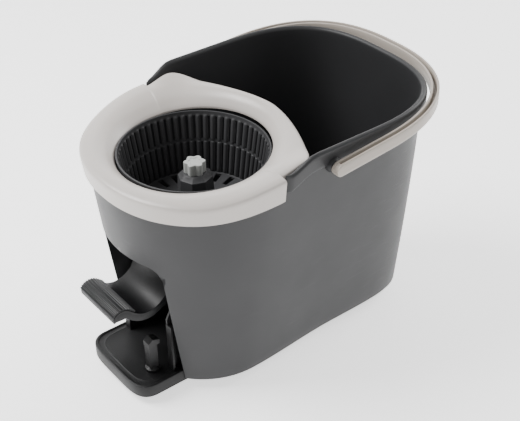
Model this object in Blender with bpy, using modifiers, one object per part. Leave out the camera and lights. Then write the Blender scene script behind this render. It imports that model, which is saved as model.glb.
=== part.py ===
"""Pedal-driven spin-dry bucket of a mop set: tub, collar, basket, bail and the pedal's gear train.

Lengths are metres, +Z is up. Everything hangs on one empty. Inside it the basket turns about the line
x = y = 0, the floor is z = 0, the pedal points to -Y and the tub lies towards +Y.
"""
import math

import bmesh
import bpy
from mathutils import Matrix, Vector

# Tub
TUB_HEIGHT = 0.334        # top of the rim
TUB_FRONT_R = 0.106       # front wall's radius at the floor
TUB_FRONT_DRAFT = 0.090   # how much its depth grows per metre of height
TUB_SHOULDER_DRAFT = 0.1334   # how much its half width grows per metre of height
TUB_SIDE = 0.0985         # half width of the back part at the floor
TUB_SIDE_DRAFT = 0.157
TUB_BACK = 0.300          # back wall from the basket's axis, at the floor
TUB_BACK_DRAFT = 0.033
TUB_CENTRE_Y = (0.005, 0.020)   # centre of the round front, at the floor and at the rim
FRONT_POWER = (2.0, 2.2)  # squareness of the front, at the floor and at the rim
BACK_CENTRE_Y = 0.150     # where the rounded back end begins
BACK_POWER = (4.5, 2.8)   # squareness of the back end, at the floor and at the rim
TUB_WALL = 0.003
TUB_LIFT = 0.002          # tub bottom above the floor
LIP = 0.005               # how far the rolled rim stands out
LIP_DROP = 0.026          # height of the rolled rim
COLLAR_SEAT_Z = 0.293     # rim height under the collar
NOTCH_Y = 0.0275          # where the collar ends and the rim steps up
NOTCH_Z = 0.317
WAVE_END = 0.070          # the rim reaches its full height here
SHOULDER_END = (0.150, 0.055)   # where the tub reaches its side width, at the floor and at the rim
SIDE_STATIONS = (-0.0013, 0.0016, 0.008, 0.017, 0.029, 0.042, 0.073)   # sections of the side, from the notch
FRONT_STEPS, BACK_STEPS = 12, 13   # steps of the outline round the front and round the back

# Recess for the drive unit
RECESS_HALF = 0.0675
RECESS_TOP = 0.194
RECESS_BACK = 0.055
RECESS_CORNER = 0.018
BOSS_R = 0.014
BOSS_TOP = 0.203

# Collar
COLLAR_OVERHANG = 0.0060  # how far the collar stands out over the tub
COLLAR_OPENING_R = 0.098
COLLAR_TOP = 0.301
COLLAR_SKIRT = 0.0225
COLLAR_WALL = 0.0026
COLLAR_BACK = 0.125       # back edge of the collar on the centre line
WING_Y = 0.066            # back edge where the wings meet the tub's sides
WING_RISE = 0.009
COLLAR_CLIMB = 0.012      # rise of the rim and the collar from the front to the notch
CLIMB_START = -0.090
SKIRT_CLIMB = 0.006
MOUTH_TILT = 0.060        # rise per length of the opening towards the tub, from the middle
COLLAR_END = NOTCH_Y - 0.0025   # the skirt ends just before the tub's notch
COLLAR_STEPS = 48         # steps round the collar

# Basket
BASKET_R = 0.097          # outside of the basket at its rim
BASKET_FLOOR_R = 0.084
BASKET_TOP = 0.2945
BASKET_FLOOR = 0.2065
BASKET_WALL = 0.0025
SLOTS = 60
SLOT_SHARE = 0.40         # open part of each pitch
TIERS = ((0.2885, 0.2565), (0.2525, 0.2110))
DRAINS = 12
HUB_R = 0.0223
HUB_SHOULDER = 0.255
HUB_TOP = 0.262
HUB_TOP_R = 0.015
STAR_R = 0.014
STAR_HEIGHT = 0.015
STAR_LOBES = 6

# Drive unit
PLATE_HALF = 0.066
PLATE_FRONT = 0.1455      # front of the base plate ahead of the basket's axis
PLATE_BACK = 0.050
PLATE_HEIGHT = 0.018
PLATE_WALL = 0.003
CHEEK_X = 0.047           # inner face of a housing side
CHEEK_WALL = 0.003
CHEEK_RIBS = 4            # upright ribs on each housing side
HOUSING_FRONT, HOUSING_BACK, HOUSING_TOP = -0.088, 0.046, 0.186   # extent of a housing side
HOUSING_SCREWS = ((-0.057, -0.066), (0.057, -0.066), (-0.057, 0.030), (0.057, 0.030))
SCREW_R = 0.0018
FLOOR_Z = PLATE_HEIGHT - 0.0015   # top of the plate's dished middle
AXLE_Y, AXLE_Z = -0.040, 0.140
AXLE_R = 0.004
SHAFT_R = 0.004
PEDAL_HALF = 0.040
PEDAL_WALL = 0.003
PEDAL_FLANGE = 0.011
PEDAL_FRONT = 0.1585      # front of the tread ahead of the basket's axis
PEDAL_HUB_R = 0.007       # eye of a pedal arm round the axle
STRUT_AT = (0.036, -0.107)   # x and y of the stop post
STRUT_TOP = 0.070         # the pedal rests on it when it is all the way down
STRUT_HALF = 0.006        # half its width and depth
STRUT_WALL = 0.002
STRUT_FOOT_R = 0.0096

# Gears: the pedal's sector turns the pinion, the drive bevel turns the spindle bevel
SECTOR_MODULE, SECTOR_TEETH, PINION_TEETH = 0.00125, 64, 12
BEVEL_MODULE, BEVEL_TEETH, BEVEL_SMALL = 0.0015, 30, 10
BEVEL_FACE = 0.30         # share of the cone that carries teeth
TOOTH_FILL = 0.76         # tooth's share of half a pitch; the rest is backlash
SECTOR_X = -0.020
PEDAL_TRAVEL = 28.0       # degrees

# Spindle and clutch
SPINDLE_R = 0.005
BUSH_R = 0.009
ROLLER_R = 0.002
ROLLERS = 3

# Bail
BAIL_HALF = 0.170         # outer face of the arms
BAIL_BACK = TUB_BACK + 0.036   # outer face of the bail behind the tub, clear of its rim
BAIL_THICK = 0.0115
BAIL_HEIGHT = 0.017
BAIL_TILT = 0.090         # rise per length towards the back
BAIL_PIVOT_Y, BAIL_PIVOT_Z = 0.095, 0.3085
BAIL_CENTRE_Y = 0.165
BAIL_POWER = 2.5
BAIL_FLANGE = 0.0035
BAIL_GROOVE = 0.009
BAIL_STEPS = 14           # steps round a quarter of the bail
PEG_R = 0.0045
PEG_FOOT_X = 0.1475

# Rubber feet under the tub
FOOT_R = 0.009
FEET = ((-0.082, 0.0), (0.082, 0.0), (-0.070, 0.205), (0.070, 0.205))

GAP = 0.0003              # between touching pieces
RUN = 0.0003              # round a shaft that turns

SECTOR_R = SECTOR_MODULE * SECTOR_TEETH / 2
PINION_R = SECTOR_MODULE * PINION_TEETH / 2
BEVEL_R = BEVEL_MODULE * BEVEL_TEETH / 2
BEVEL_SMALL_R = BEVEL_MODULE * BEVEL_SMALL / 2
SHAFT_Z = AXLE_Z - math.sqrt((SECTOR_R + PINION_R) ** 2 - AXLE_Y ** 2)
SPINDLE_TIP_R = 0.0035    # the star is pressed on this
SPINDLE_FOOT = SHAFT_Z + BEVEL_R - 0.003
CUP_R, CUP_WALL = 0.0095, 0.0025   # clutch cup on the spindle bevel
CUP_FLOOR = SHAFT_Z + BEVEL_R + 0.0025
CUP_TOP = CUP_FLOOR + 0.012
BRIDGE_Z = (CUP_TOP + 0.0045, CUP_TOP + 0.0095)   # underside and top of the bearing carrier
BRIDGE_HALF = 0.018
BRIDGE_TAB = 0.012        # half width of its tabs in the housing sides
SHAFT_BUSH_R = 0.0065


def smooth(value, low, high):
    """0 below low, 1 above high, and an even S between."""
    t = min(1.0, max(0.0, (value - low) / (high - low)))
    return t * t * (3 - 2 * t)


def new_collection(name):
    collection = bpy.data.collections.new(name)
    bpy.context.scene.collection.children.link(collection)
    return collection


for old in list(bpy.data.objects):
    bpy.data.objects.remove(old, do_unlink=True)

PARTS = new_collection("spin_mop_bucket")
CUTTERS = new_collection("cutters")
ROOT = bpy.data.objects.new("spin_mop_bucket_frame", None)
ROOT.location = (0, (PEDAL_FRONT - BAIL_BACK) / 2, 0)
PARTS.objects.link(ROOT)


def material(name, colour, roughness, metallic=0.0):
    made = bpy.data.materials.new(name)
    made.use_nodes = True
    shader = made.node_tree.nodes["Principled BSDF"]
    shader.inputs["Base Color"].default_value = (*colour, 1)
    shader.inputs["Roughness"].default_value = roughness
    shader.inputs["Metallic"].default_value = metallic
    return made


TUB_GREY = material("tub_grey", (0.098, 0.098, 0.102), 0.42)
COLLAR_GREY = material("collar_grey", (0.58, 0.55, 0.52), 0.38)
BASKET_GREY = material("basket_grey", (0.035, 0.036, 0.038), 0.45)
STAR_GREY = material("star_grey", (0.40, 0.42, 0.38), 0.45)
BAIL_TAUPE = material("bail_taupe", (0.40, 0.35, 0.31), 0.40)
PEDAL_BLACK = material("pedal_black", (0.014, 0.014, 0.015), 0.42)
GEAR_WHITE = material("gear_white", (0.72, 0.71, 0.66), 0.40)
STEEL = material("steel", (0.55, 0.55, 0.56), 0.30, 1.0)
BRONZE = material("bronze", (0.45, 0.30, 0.15), 0.35, 1.0)
FOOT_RUBBER = material("foot_rubber", (0.03, 0.03, 0.03), 0.80)


def add(name, mesh, surface, place=None, cutter=False):
    """Put a mesh in the model as a part, or as a shape that only cuts or joins parts."""
    thing = bpy.data.objects.new(name, mesh)
    mesh.materials.clear()
    mesh.materials.append(surface)
    (CUTTERS if cutter else PARTS).objects.link(thing)
    thing.parent = ROOT
    if place is not None:
        thing.matrix_local = place
    if cutter:
        thing.hide_render = True
        thing.display_type = "WIRE"
    return thing


def round_off(mesh, angle=35):
    mesh.shade_smooth()
    mesh.set_sharp_from_angle(angle=math.radians(angle))


def boolean(target, tool, operation):
    step = target.modifiers.new(operation.lower(), "BOOLEAN")
    step.operation = operation
    step.solver = "EXACT"
    step.object = tool


def loft(rings, closed_ends=True, wrap=False):
    """A mesh through rings of equally many points. Ends are capped, or the last ring joins the first."""
    mesh = bpy.data.meshes.new("loft")
    bm = bmesh.new()
    rows = [[bm.verts.new(p) for p in ring] for ring in rings]
    count = len(rows[0])
    pairs = list(zip(rows, rows[1:] + (rows[:1] if wrap else [])))
    for low, high in pairs:
        for i in range(count):
            j = (i + 1) % count
            bm.faces.new((low[i], low[j], high[j], high[i]))
    if closed_ends and not wrap:
        bm.faces.new(list(reversed(rows[0])))
        bm.faces.new(rows[-1])
    bmesh.ops.recalc_face_normals(bm, faces=bm.faces)
    bm.to_mesh(mesh)
    bm.free()
    round_off(mesh)
    return mesh


ALONG_X = Matrix(((0, 0, 1, 0), (1, 0, 0, 0), (0, 1, 0, 0), (0, 0, 0, 1)))   # outline (x, y) to (Y, Z)
ALONG_Y = Matrix(((1, 0, 0, 0), (0, 0, -1, 0), (0, 1, 0, 0), (0, 0, 0, 1)))  # outline (x, y) to (X, Z)


def flat(outlines, thickness, bevel=0.0):
    """A plate: flat outlines, the inner ones being holes, given a thickness centred on the plane."""
    curve = bpy.data.curves.new("outline", "CURVE")
    curve.dimensions = "2D"
    curve.fill_mode = "BOTH"
    curve.extrude = thickness / 2 - bevel
    curve.bevel_depth = bevel
    curve.bevel_resolution = 1
    curve.offset = -bevel
    for outline in outlines:
        spline = curve.splines.new("POLY")
        spline.points.add(len(outline) - 1)
        for point, (x, y) in zip(spline.points, outline):
            point.co = (x, y, 0, 1)
        spline.use_cyclic_u = True
    holder = bpy.data.objects.new("outline", curve)
    PARTS.objects.link(holder)
    bpy.context.view_layer.update()
    mesh = bpy.data.meshes.new_from_object(holder.evaluated_get(bpy.context.evaluated_depsgraph_get()))
    bpy.data.objects.remove(holder, do_unlink=True)
    bm = bmesh.new()
    bm.from_mesh(mesh)
    bmesh.ops.remove_doubles(bm, verts=bm.verts, dist=0.00001)
    bmesh.ops.recalc_face_normals(bm, faces=bm.faces)
    bm.to_mesh(mesh)
    bm.free()
    return mesh


def ring_points(radius, count, centre=(0, 0), start=0.0):
    turn = 2 * math.pi / count
    return [(centre[0] + radius * math.cos(start + i * turn), centre[1] + radius * math.sin(start + i * turn))
            for i in range(count)]


def turned(name, profile, surface, place=None, steps=24, cutter=False):
    """A turned piece: (radius, height) points from the top down the outer side, spun about local Z."""
    mesh = bpy.data.meshes.new(name)
    closed = profile[0][0] > 0
    edges = [(i, i + 1) for i in range(len(profile) - 1)]
    if closed:
        edges.append((len(profile) - 1, 0))
    mesh.from_pydata([(r, 0, z) for r, z in profile], edges, [])
    thing = add(name, mesh, surface, place, cutter)
    screw = thing.modifiers.new("turn", "SCREW")
    screw.axis = "Z"
    screw.steps = screw.render_steps = steps
    screw.use_merge_vertices = True
    screw.merge_threshold = 0.00001
    screw.use_smooth_shade = True
    return thing


def sleeve(name, inner, outer, low, high, surface, place=None, steps=24, cutter=False):
    return turned(name, [(outer, high), (outer, low), (inner, low), (inner, high)], surface, place, steps,
                  cutter)


def rod(name, radius, low, high, surface, place=None, steps=24, cutter=False):
    return turned(name, [(0, high), (radius, high), (radius, low), (0, low)], surface, place, steps, cutter)


def block(name, low, high, surface, cutter=False, bevel=0.0):
    """A box between two corners, with its edges rounded if asked."""
    mesh = bpy.data.meshes.new(name)
    bm = bmesh.new()
    bmesh.ops.create_cube(bm, size=1)
    low, high = Vector(low), Vector(high)
    bmesh.ops.scale(bm, vec=high - low, verts=bm.verts)
    bm.to_mesh(mesh)
    bm.free()
    thing = add(name, mesh, surface, Matrix.Translation((low + high) / 2), cutter)
    if bevel:
        edge = thing.modifiers.new("edges", "BEVEL")
        edge.width = bevel
        edge.segments = 2
    return thing


def at(x, y, z):
    return Matrix.Translation((x, y, z))


# ---------------------------------------------------------------- tub

def from_floor(pair, z):
    """A size given at the floor and at the rim, at height z."""
    return pair[0] + (pair[1] - pair[0]) * z / TUB_HEIGHT


def front_part(z, grow):
    """Centre, half width and depth of the round front at height z."""
    centre = from_floor(TUB_CENTRE_Y, z)
    depth = TUB_FRONT_R + TUB_FRONT_DRAFT * z + centre - TUB_CENTRE_Y[0]
    return centre, TUB_FRONT_R + TUB_SHOULDER_DRAFT * z + grow, depth + grow


def tub_half_width(y, z, grow=0.0):
    """Half width of the tub's outside at height z, y behind the basket's axis."""
    centre, half, depth = front_part(z, grow)
    if y < centre:
        power = from_floor(FRONT_POWER, z)
        return half * max(0.0, 1 - ((centre - y) / depth) ** power) ** (1 / power)
    side = TUB_SIDE + TUB_SIDE_DRAFT * z + grow
    return half + (side - half) * smooth(y, centre, from_floor(SHOULDER_END, z))


def tub_plan(z, grow=0.0):
    """The tub's outline at height z, grown outwards, from the front point round by +X to the front."""
    centre, front, depth = front_part(z, grow)
    side = TUB_SIDE + TUB_SIDE_DRAFT * z + grow
    back = TUB_BACK + TUB_BACK_DRAFT * z + grow - BACK_CENTRE_Y
    round_front, power = 2 / from_floor(FRONT_POWER, z), 2 / from_floor(BACK_POWER, z)
    half = []
    for i in range(FRONT_STEPS):
        a = math.pi / 2 * i / FRONT_STEPS
        half.append((front * math.sin(a) ** round_front, centre - depth * math.cos(a) ** round_front))
    stations = [NOTCH_Y + station for station in SIDE_STATIONS]
    for y in [centre, (centre + stations[0]) / 2] + stations:
        half.append((tub_half_width(y, z, grow), y))
    for i in range(BACK_STEPS + 1):
        a = math.pi / 2 * i / BACK_STEPS
        half.append((side * math.cos(a) ** power, BACK_CENTRE_Y + back * math.sin(a) ** power))
    half[-1] = (0.0, half[-1][1])
    return half + [(-x, y) for x, y in reversed(half[1:-1])]


def climb(y):
    """How far the rim under the collar has risen at y."""
    return COLLAR_CLIMB * smooth(y, CLIMB_START, NOTCH_Y)


def rim_height(y):
    if y < NOTCH_Y:
        return COLLAR_SEAT_Z + climb(y)
    return NOTCH_Z + (TUB_HEIGHT - NOTCH_Z) * smooth(y, NOTCH_Y, WAVE_END)


def tub_ring(share, drop=0.0, grow=0.0, lip=0.0):
    """A ring of the tub at a share of the local rim height, less a drop; lip grows only the rolled rim."""
    ring = []
    reference = tub_plan(TUB_HEIGHT)
    for i, (_, y) in enumerate(reference):
        top = rim_height(y)
        z = TUB_LIFT + (top - TUB_LIFT) * share - drop
        rolled = smooth(y, NOTCH_Y, NOTCH_Y + 0.010)
        x, y = tub_plan(z, grow + lip * rolled)[i]
        ring.append((x, y, z))
    return ring


def make_tub():
    roll = LIP * 0.9
    rings = [
        tub_ring(0, grow=-0.003),
        tub_ring(0, drop=-0.003),
        tub_ring(0.5),
        tub_ring(1, drop=LIP_DROP),
        tub_ring(1, drop=LIP_DROP - 0.002, lip=LIP),
        tub_ring(1, drop=roll, lip=LIP),
        tub_ring(1, drop=roll * 0.3, lip=LIP - roll * 0.3),
        tub_ring(1, lip=LIP - roll, grow=-TUB_WALL * 0.3),
        tub_ring(1, drop=roll * 0.4, grow=-TUB_WALL),
        tub_ring(0.5, grow=-TUB_WALL),
        tub_ring(0, drop=-0.009, grow=-TUB_WALL),
        tub_ring(0, drop=-0.0035, grow=-TUB_WALL - 0.006),
    ]
    tub = add("bucket", loft(rings), TUB_GREY)
    inside = [tub_ring(0, drop=-0.001, grow=-TUB_WALL / 2),
              [(x, y, 0.260) for x, y in tub_plan(0.260, -TUB_WALL / 2)]]
    hull = add("tub_hull", loft(inside), TUB_GREY, cutter=True)
    reach = 0.4

    def recess(name, grow, back, low):
        half, top, corner = RECESS_HALF + grow, RECESS_TOP + grow, RECESS_CORNER
        arch = [(half, low), (half, top - corner)]
        for i in range(1, 6):
            a = math.pi / 2 * i / 6
            arch.append((half - corner + corner * math.cos(a), top - corner + corner * math.sin(a)))
        arch.append((half - corner, top))
        arch += [(-x, z) for x, z in reversed(arch)]
        return add(name, flat([arch], reach), TUB_GREY, at(0, back - reach / 2, 0) @ ALONG_Y, cutter=True)

    walls = recess("recess_walls", TUB_WALL, RECESS_BACK + TUB_WALL, TUB_LIFT + 0.0008)
    boss = rod("bearing_boss", BOSS_R, RECESS_TOP + TUB_WALL / 2, BOSS_TOP, TUB_GREY, cutter=True)
    boolean(walls, hull, "INTERSECT")
    boolean(walls, boss, "UNION")
    boolean(tub, walls, "UNION")
    boolean(tub, recess("recess_room", 0, RECESS_BACK, -0.02), "DIFFERENCE")
    boolean(tub, rod("bush_seat", BUSH_R + GAP, RECESS_TOP - 0.01, BOSS_TOP + 0.01, TUB_GREY, cutter=True),
            "DIFFERENCE")
    for side in (-1, 1):
        peg_hole = rod(f"peg_hole_{side}", PEG_R + GAP, -0.006, 0.02, TUB_GREY,
                       at(side * PEG_FOOT_X, BAIL_PIVOT_Y,
                          BAIL_PIVOT_Z) @ Matrix.Rotation(side * math.pi / 2, 4, "Y"),
                       cutter=True)
        boolean(tub, peg_hole, "DIFFERENCE")
    for number, (x, y) in enumerate(FEET, 1):
        foot = turned(f"foot_{number}",
                      [(0, TUB_LIFT - GAP), (FOOT_R, TUB_LIFT - GAP), (FOOT_R - 0.0005, 0), (0, 0)],
                      FOOT_RUBBER, at(x, y, 0), steps=16)
        foot.data.name = "foot"


# ---------------------------------------------------------------- collar

def collar_covers(point):
    """Whether the collar reaches over a point of the plan."""
    x, y = point
    if y < COLLAR_END:
        return abs(x) < tub_half_width(y, COLLAR_TOP, COLLAR_OVERHANG)
    inside = tub_half_width(y, COLLAR_TOP + collar_rise(abs(x), y) - 0.006, -TUB_WALL - 0.0012)
    back = COLLAR_BACK - (COLLAR_BACK - WING_Y) * (abs(x) / 0.150) ** 1.6
    return abs(x) < inside and y < back


def collar_edge(direction):
    """The collar's outer edge in plan, along a direction from the basket's axis."""
    low, high = COLLAR_OPENING_R, 2 * COLLAR_OPENING_R
    for _ in range(24):
        reach = (low + high) / 2
        if collar_covers(direction * reach):
            low = reach
        else:
            high = reach
    return direction * low


def collar_rise(x, y):
    """How far the collar climbs towards the tub, and its wings with the tub's rim."""
    return climb(y) + WING_RISE * smooth(abs(x), 0.104, 0.146) * smooth(y, 0.018, 0.062)


def make_collar():
    end_angle = math.pi / 2 + math.atan2(COLLAR_END, tub_half_width(COLLAR_END, COLLAR_TOP, COLLAR_OVERHANG))
    inner_x = tub_half_width(COLLAR_END, COLLAR_TOP, -TUB_WALL - 0.0025)
    extra = (end_angle - 0.006, end_angle - 0.002, math.pi / 2 + math.atan2(COLLAR_END + 0.0004, inner_x))
    angles = sorted([2 * math.pi * i / COLLAR_STEPS for i in range(COLLAR_STEPS)]
                    + [side * a for side in (-1, 1) for a in extra], key=lambda a: a % (2 * math.pi))
    wall = COLLAR_WALL
    section = (             # share of the way from opening to edge, further out by, height over the crease
        (0.0, 0.0, -0.0130), (0.0, 0.0, -0.0100), (0.06, 0.0, -0.0062), (0.30, 0.0, 0.0012),
        (0.60, 0.0, 0.0045),
        (0.86, 0.0, 0.0036), (0.96, 0.0, 0.0015), (1.0, 0.0, -0.0020), (1.0, -0.0022, None),
        (1.0, -0.0022 - wall, None), (1.0, -wall, -0.0035), (0.94, -wall / 2, 0.0015 - wall),
        (0.60, 0.0, 0.0045 - wall),
        (0.30, 0.0, 0.0012 - wall), (0.0, wall, -0.0115), (0.0, wall, -0.0130),
    )
    rings = [[] for _ in section]
    for a in angles:
        direction = Vector((math.sin(a), -math.cos(a)))
        edge = collar_edge(direction)
        mouth = direction * COLLAR_OPENING_R
        crossing = abs(abs(math.remainder(a, 2 * math.pi)) - extra[1]) < 0.001
        outside = edge.y < COLLAR_END and not crossing
        skirt = -COLLAR_SKIRT if outside else -0.0055 if crossing else -0.0080
        for ring, (share, out, rise) in zip(rings, section):
            x, y = mouth.lerp(edge, share) + direction * out
            lift = share * collar_rise(x, y) + (1 - share) * (MOUTH_TILT * y + COLLAR_CLIMB / 2)
            if rise is None:
                lift = (SKIRT_CLIMB / COLLAR_CLIMB) * climb(y) if outside else lift
                rise = skirt
            ring.append((x, y, COLLAR_TOP + rise + lift))
    add("collar", loft(rings, wrap=True), COLLAR_GREY)


# ---------------------------------------------------------------- basket

def basket_radius(z):
    return BASKET_FLOOR_R + (BASKET_R - BASKET_FLOOR_R) * (z - BASKET_FLOOR) / (BASKET_TOP - BASKET_FLOOR)


def make_basket():
    heights = [BASKET_TOP, TIERS[0][0], TIERS[0][1], TIERS[1][0], TIERS[1][1], BASKET_FLOOR]
    angles = []
    for i in range(SLOTS):
        pitch = 2 * math.pi / SLOTS
        angles += [i * pitch, (i + SLOT_SHARE) * pitch]
    mesh = bpy.data.meshes.new("basket_wall")
    bm = bmesh.new()
    rows = []
    for z in heights:
        r = basket_radius(z)
        rows.append([bm.verts.new((r * math.cos(a), r * math.sin(a), z)) for a in angles])
    for level, (high, low) in enumerate(zip(rows, rows[1:])):
        for i in range(len(angles)):
            if level in (1, 3) and i % 2 == 0:
                continue
            j = (i + 1) % len(angles)
            bm.faces.new((low[i], low[j], high[j], high[i]))
    bm.to_mesh(mesh)
    bm.free()
    basket = add("spin_basket", mesh, BASKET_GREY)
    wall = basket.modifiers.new("wall", "SOLIDIFY")
    wall.thickness = BASKET_WALL
    wall.offset = -1
    foot = BASKET_FLOOR_R - 0.0008
    floor = turned("basket_floor", [
        (SPINDLE_R + RUN, HUB_TOP), (HUB_TOP_R, HUB_TOP), (HUB_R, HUB_SHOULDER), (HUB_R + 0.002, 0.222),
        (HUB_R + 0.012, BASKET_FLOOR + 0.0035), (foot, BASKET_FLOOR + 0.003), (foot, BASKET_FLOOR - 0.0005),
        (HUB_R + 0.010, BASKET_FLOOR - 0.0005), (HUB_R - 0.001, 0.218), (HUB_R - 0.003, HUB_SHOULDER - 0.003),
        (HUB_TOP_R - 0.002, HUB_TOP - 0.003), (SPINDLE_R + RUN, HUB_TOP - 0.003)], BASKET_GREY, steps=30,
        cutter=True)
    boolean(basket, floor, "UNION")
    mesh = bpy.data.meshes.new("drains")
    bm = bmesh.new()
    for i in range(DRAINS):
        turn = Matrix.Rotation(2 * math.pi * (i + 0.5) / DRAINS, 4, "Z")
        made = bmesh.ops.create_cube(bm, size=1)["verts"]
        bmesh.ops.scale(bm, vec=(0.020, 0.004, 0.02), verts=made)
        bmesh.ops.transform(bm, matrix=turn @ at(BASKET_FLOOR_R - 0.018, 0, BASKET_FLOOR), verts=made)
    bm.to_mesh(mesh)
    bm.free()
    boolean(basket, add("drains", mesh, BASKET_GREY, cutter=True), "DIFFERENCE")


def make_star():
    outline = []
    for i in range(STAR_LOBES * 4):
        a = 2 * math.pi * i / (STAR_LOBES * 4)
        wave = math.cos(STAR_LOBES * a)
        outline.append(((STAR_R - 0.0016 + 0.0016 * wave) * math.cos(a),
                        (STAR_R - 0.0016 + 0.0016 * wave) * math.sin(a)))
    low = HUB_TOP + GAP
    star = add("drive_star", flat([outline], STAR_HEIGHT), STAR_GREY, at(0, 0, low + STAR_HEIGHT / 2))
    seat = rod("star_seat", SPINDLE_TIP_R + GAP, low - 0.01, low + STAR_HEIGHT - 0.004, STAR_GREY,
               cutter=True)
    boolean(star, seat, "DIFFERENCE")


# ---------------------------------------------------------------- drive unit

def plate_outline(inset):
    """The base plate: straight sides, round front corners and a shallow bow between them."""
    half, front = PLATE_HALF - inset, PLATE_FRONT - inset
    shoulder = front - 0.030
    points = [(half, PLATE_BACK - inset), (half, -shoulder)]
    for i in range(1, 8):
        a = math.pi / 2 * i / 8
        points.append((half * math.cos(a) ** 0.42, -shoulder - (front - shoulder) * math.sin(a) ** 0.75))
    return points + [(0, -front)] + [(-x, y) for x, y in reversed(points)]


def make_base():
    plate = add("base_plate", flat([plate_outline(0)], PLATE_HEIGHT), PEDAL_BLACK, at(0, 0, PLATE_HEIGHT / 2))
    room = add("plate_room", flat([plate_outline(PLATE_WALL)], 0.04), PEDAL_BLACK,
               at(0, 0, PLATE_HEIGHT - PLATE_WALL - 0.0015 - 0.02), cutter=True)
    tray = add("plate_tray", flat([plate_outline(0.0035)], 0.02), PEDAL_BLACK, at(0, 0, FLOOR_Z + 0.01),
               cutter=True)
    boolean(plate, room, "DIFFERENCE")
    boolean(plate, tray, "DIFFERENCE")
    for number, (x, y) in enumerate(HOUSING_SCREWS, 1):
        hole = rod(f"plate_hole_{number}", SCREW_R + GAP, -0.01, 0.03, PEDAL_BLACK, at(x, y, 0), 12,
                   cutter=True)
        boolean(plate, hole, "DIFFERENCE")
        low = FLOOR_Z + GAP + CHEEK_WALL + GAP
        turned(f"housing_screw_{number}", [
            (0, low + 0.002), (0.0035, low + 0.002), (0.0042, low), (SCREW_R, low), (SCREW_R, 0.008),
            (0, 0.007)],
            STEEL, at(x, y, 0), 12)


def make_housing():
    base = FLOOR_Z + GAP
    outline = [(HOUSING_BACK, base), (HOUSING_BACK, HOUSING_TOP), (-0.022, HOUSING_TOP), (-0.056, 0.168),
               (-0.066, 0.140), (HOUSING_FRONT, 0.098), (HOUSING_FRONT, base)]
    holes = [ring_points(AXLE_R + RUN, 20, (AXLE_Y, AXLE_Z)),
             ring_points(SHAFT_BUSH_R + GAP, 20, (0, SHAFT_Z))]
    bridge_slot = [(-BRIDGE_TAB - GAP, BRIDGE_Z[0] - GAP), (BRIDGE_TAB + GAP, BRIDGE_Z[0] - GAP),
                   (BRIDGE_TAB + GAP, BRIDGE_Z[1] + GAP), (-BRIDGE_TAB - GAP, BRIDGE_Z[1] + GAP)]
    for side, name in ((-1, "housing_left"), (1, "housing_right")):
        middle = side * (CHEEK_X + CHEEK_WALL / 2)
        cheek = add(name, flat([outline] + holes + [bridge_slot], CHEEK_WALL), PEDAL_BLACK,
                    at(middle, 0, 0) @ ALONG_X)
        outer = side * (CHEEK_X + CHEEK_WALL)
        for number, (_, y) in enumerate(HOUSING_SCREWS[::2]):
            a, b = sorted((outer - side * 0.001, side * (PLATE_HALF - 0.0045)))
            tab = block(f"{name}_tab_{number}", (a, y - 0.007, base), (b, y + 0.007, base + CHEEK_WALL),
                        PEDAL_BLACK,
                        cutter=True)
            boolean(cheek, tab, "UNION")
            hole = rod(f"{name}_hole_{number}", SCREW_R + GAP, 0, 0.04, PEDAL_BLACK, at(side * 0.057, y, 0),
                       12,
                       cutter=True)
            boolean(cheek, hole, "DIFFERENCE")
        for number in range(CHEEK_RIBS):
            y = -0.082 + 0.011 * number
            a, b = sorted((outer - side * 0.001, outer + side * 0.003))
            rib = block(f"{name}_rib_{number}", (a, y, base + 0.004), (b, y + 0.0022, 0.094), PEDAL_BLACK,
                        cutter=True)
            boolean(cheek, rib, "UNION")
        lip = block(f"{name}_lip", (min(side * CHEEK_X, side * 0.058), HOUSING_FRONT - 0.0005, base),
                    (max(side * CHEEK_X, side * 0.058), HOUSING_FRONT + 0.0025, 0.090), PEDAL_BLACK,
                    cutter=True)
        boolean(cheek, lip, "UNION")


def make_bridge():
    reach = CHEEK_X + CHEEK_WALL
    low, high = BRIDGE_Z
    bridge = block("bridge", (-CHEEK_X + GAP, -BRIDGE_HALF, low), (CHEEK_X - GAP, BRIDGE_HALF, high),
                   PEDAL_BLACK)
    tabs = block("bridge_tabs", (-reach, -BRIDGE_TAB, low), (reach, BRIDGE_TAB, high), PEDAL_BLACK,
                 cutter=True)
    boss = rod("bridge_boss", BUSH_R + 0.003, low, high + 0.006, PEDAL_BLACK, cutter=True)
    seat = rod("bridge_seat", BUSH_R + GAP, low - 0.01, high + 0.02, PEDAL_BLACK, cutter=True)
    boolean(bridge, tabs, "UNION")
    boolean(bridge, boss, "UNION")
    boolean(bridge, seat, "DIFFERENCE")
    sleeve("lower_bush", SPINDLE_R + RUN, BUSH_R, low, high + 0.006, BRONZE)
    sleeve("upper_bush", SPINDLE_R + RUN, BUSH_R, RECESS_TOP, BOSS_TOP, BRONZE)
    for side, name in ((-1, "shaft_bush_left"), (1, "shaft_bush_right")):
        sleeve(name, SHAFT_R + RUN, SHAFT_BUSH_R, CHEEK_X, CHEEK_X + CHEEK_WALL, BRONZE,
               at(0, 0, SHAFT_Z) @ Matrix.Rotation(side * math.pi / 2, 4, "Y"), 20)


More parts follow.
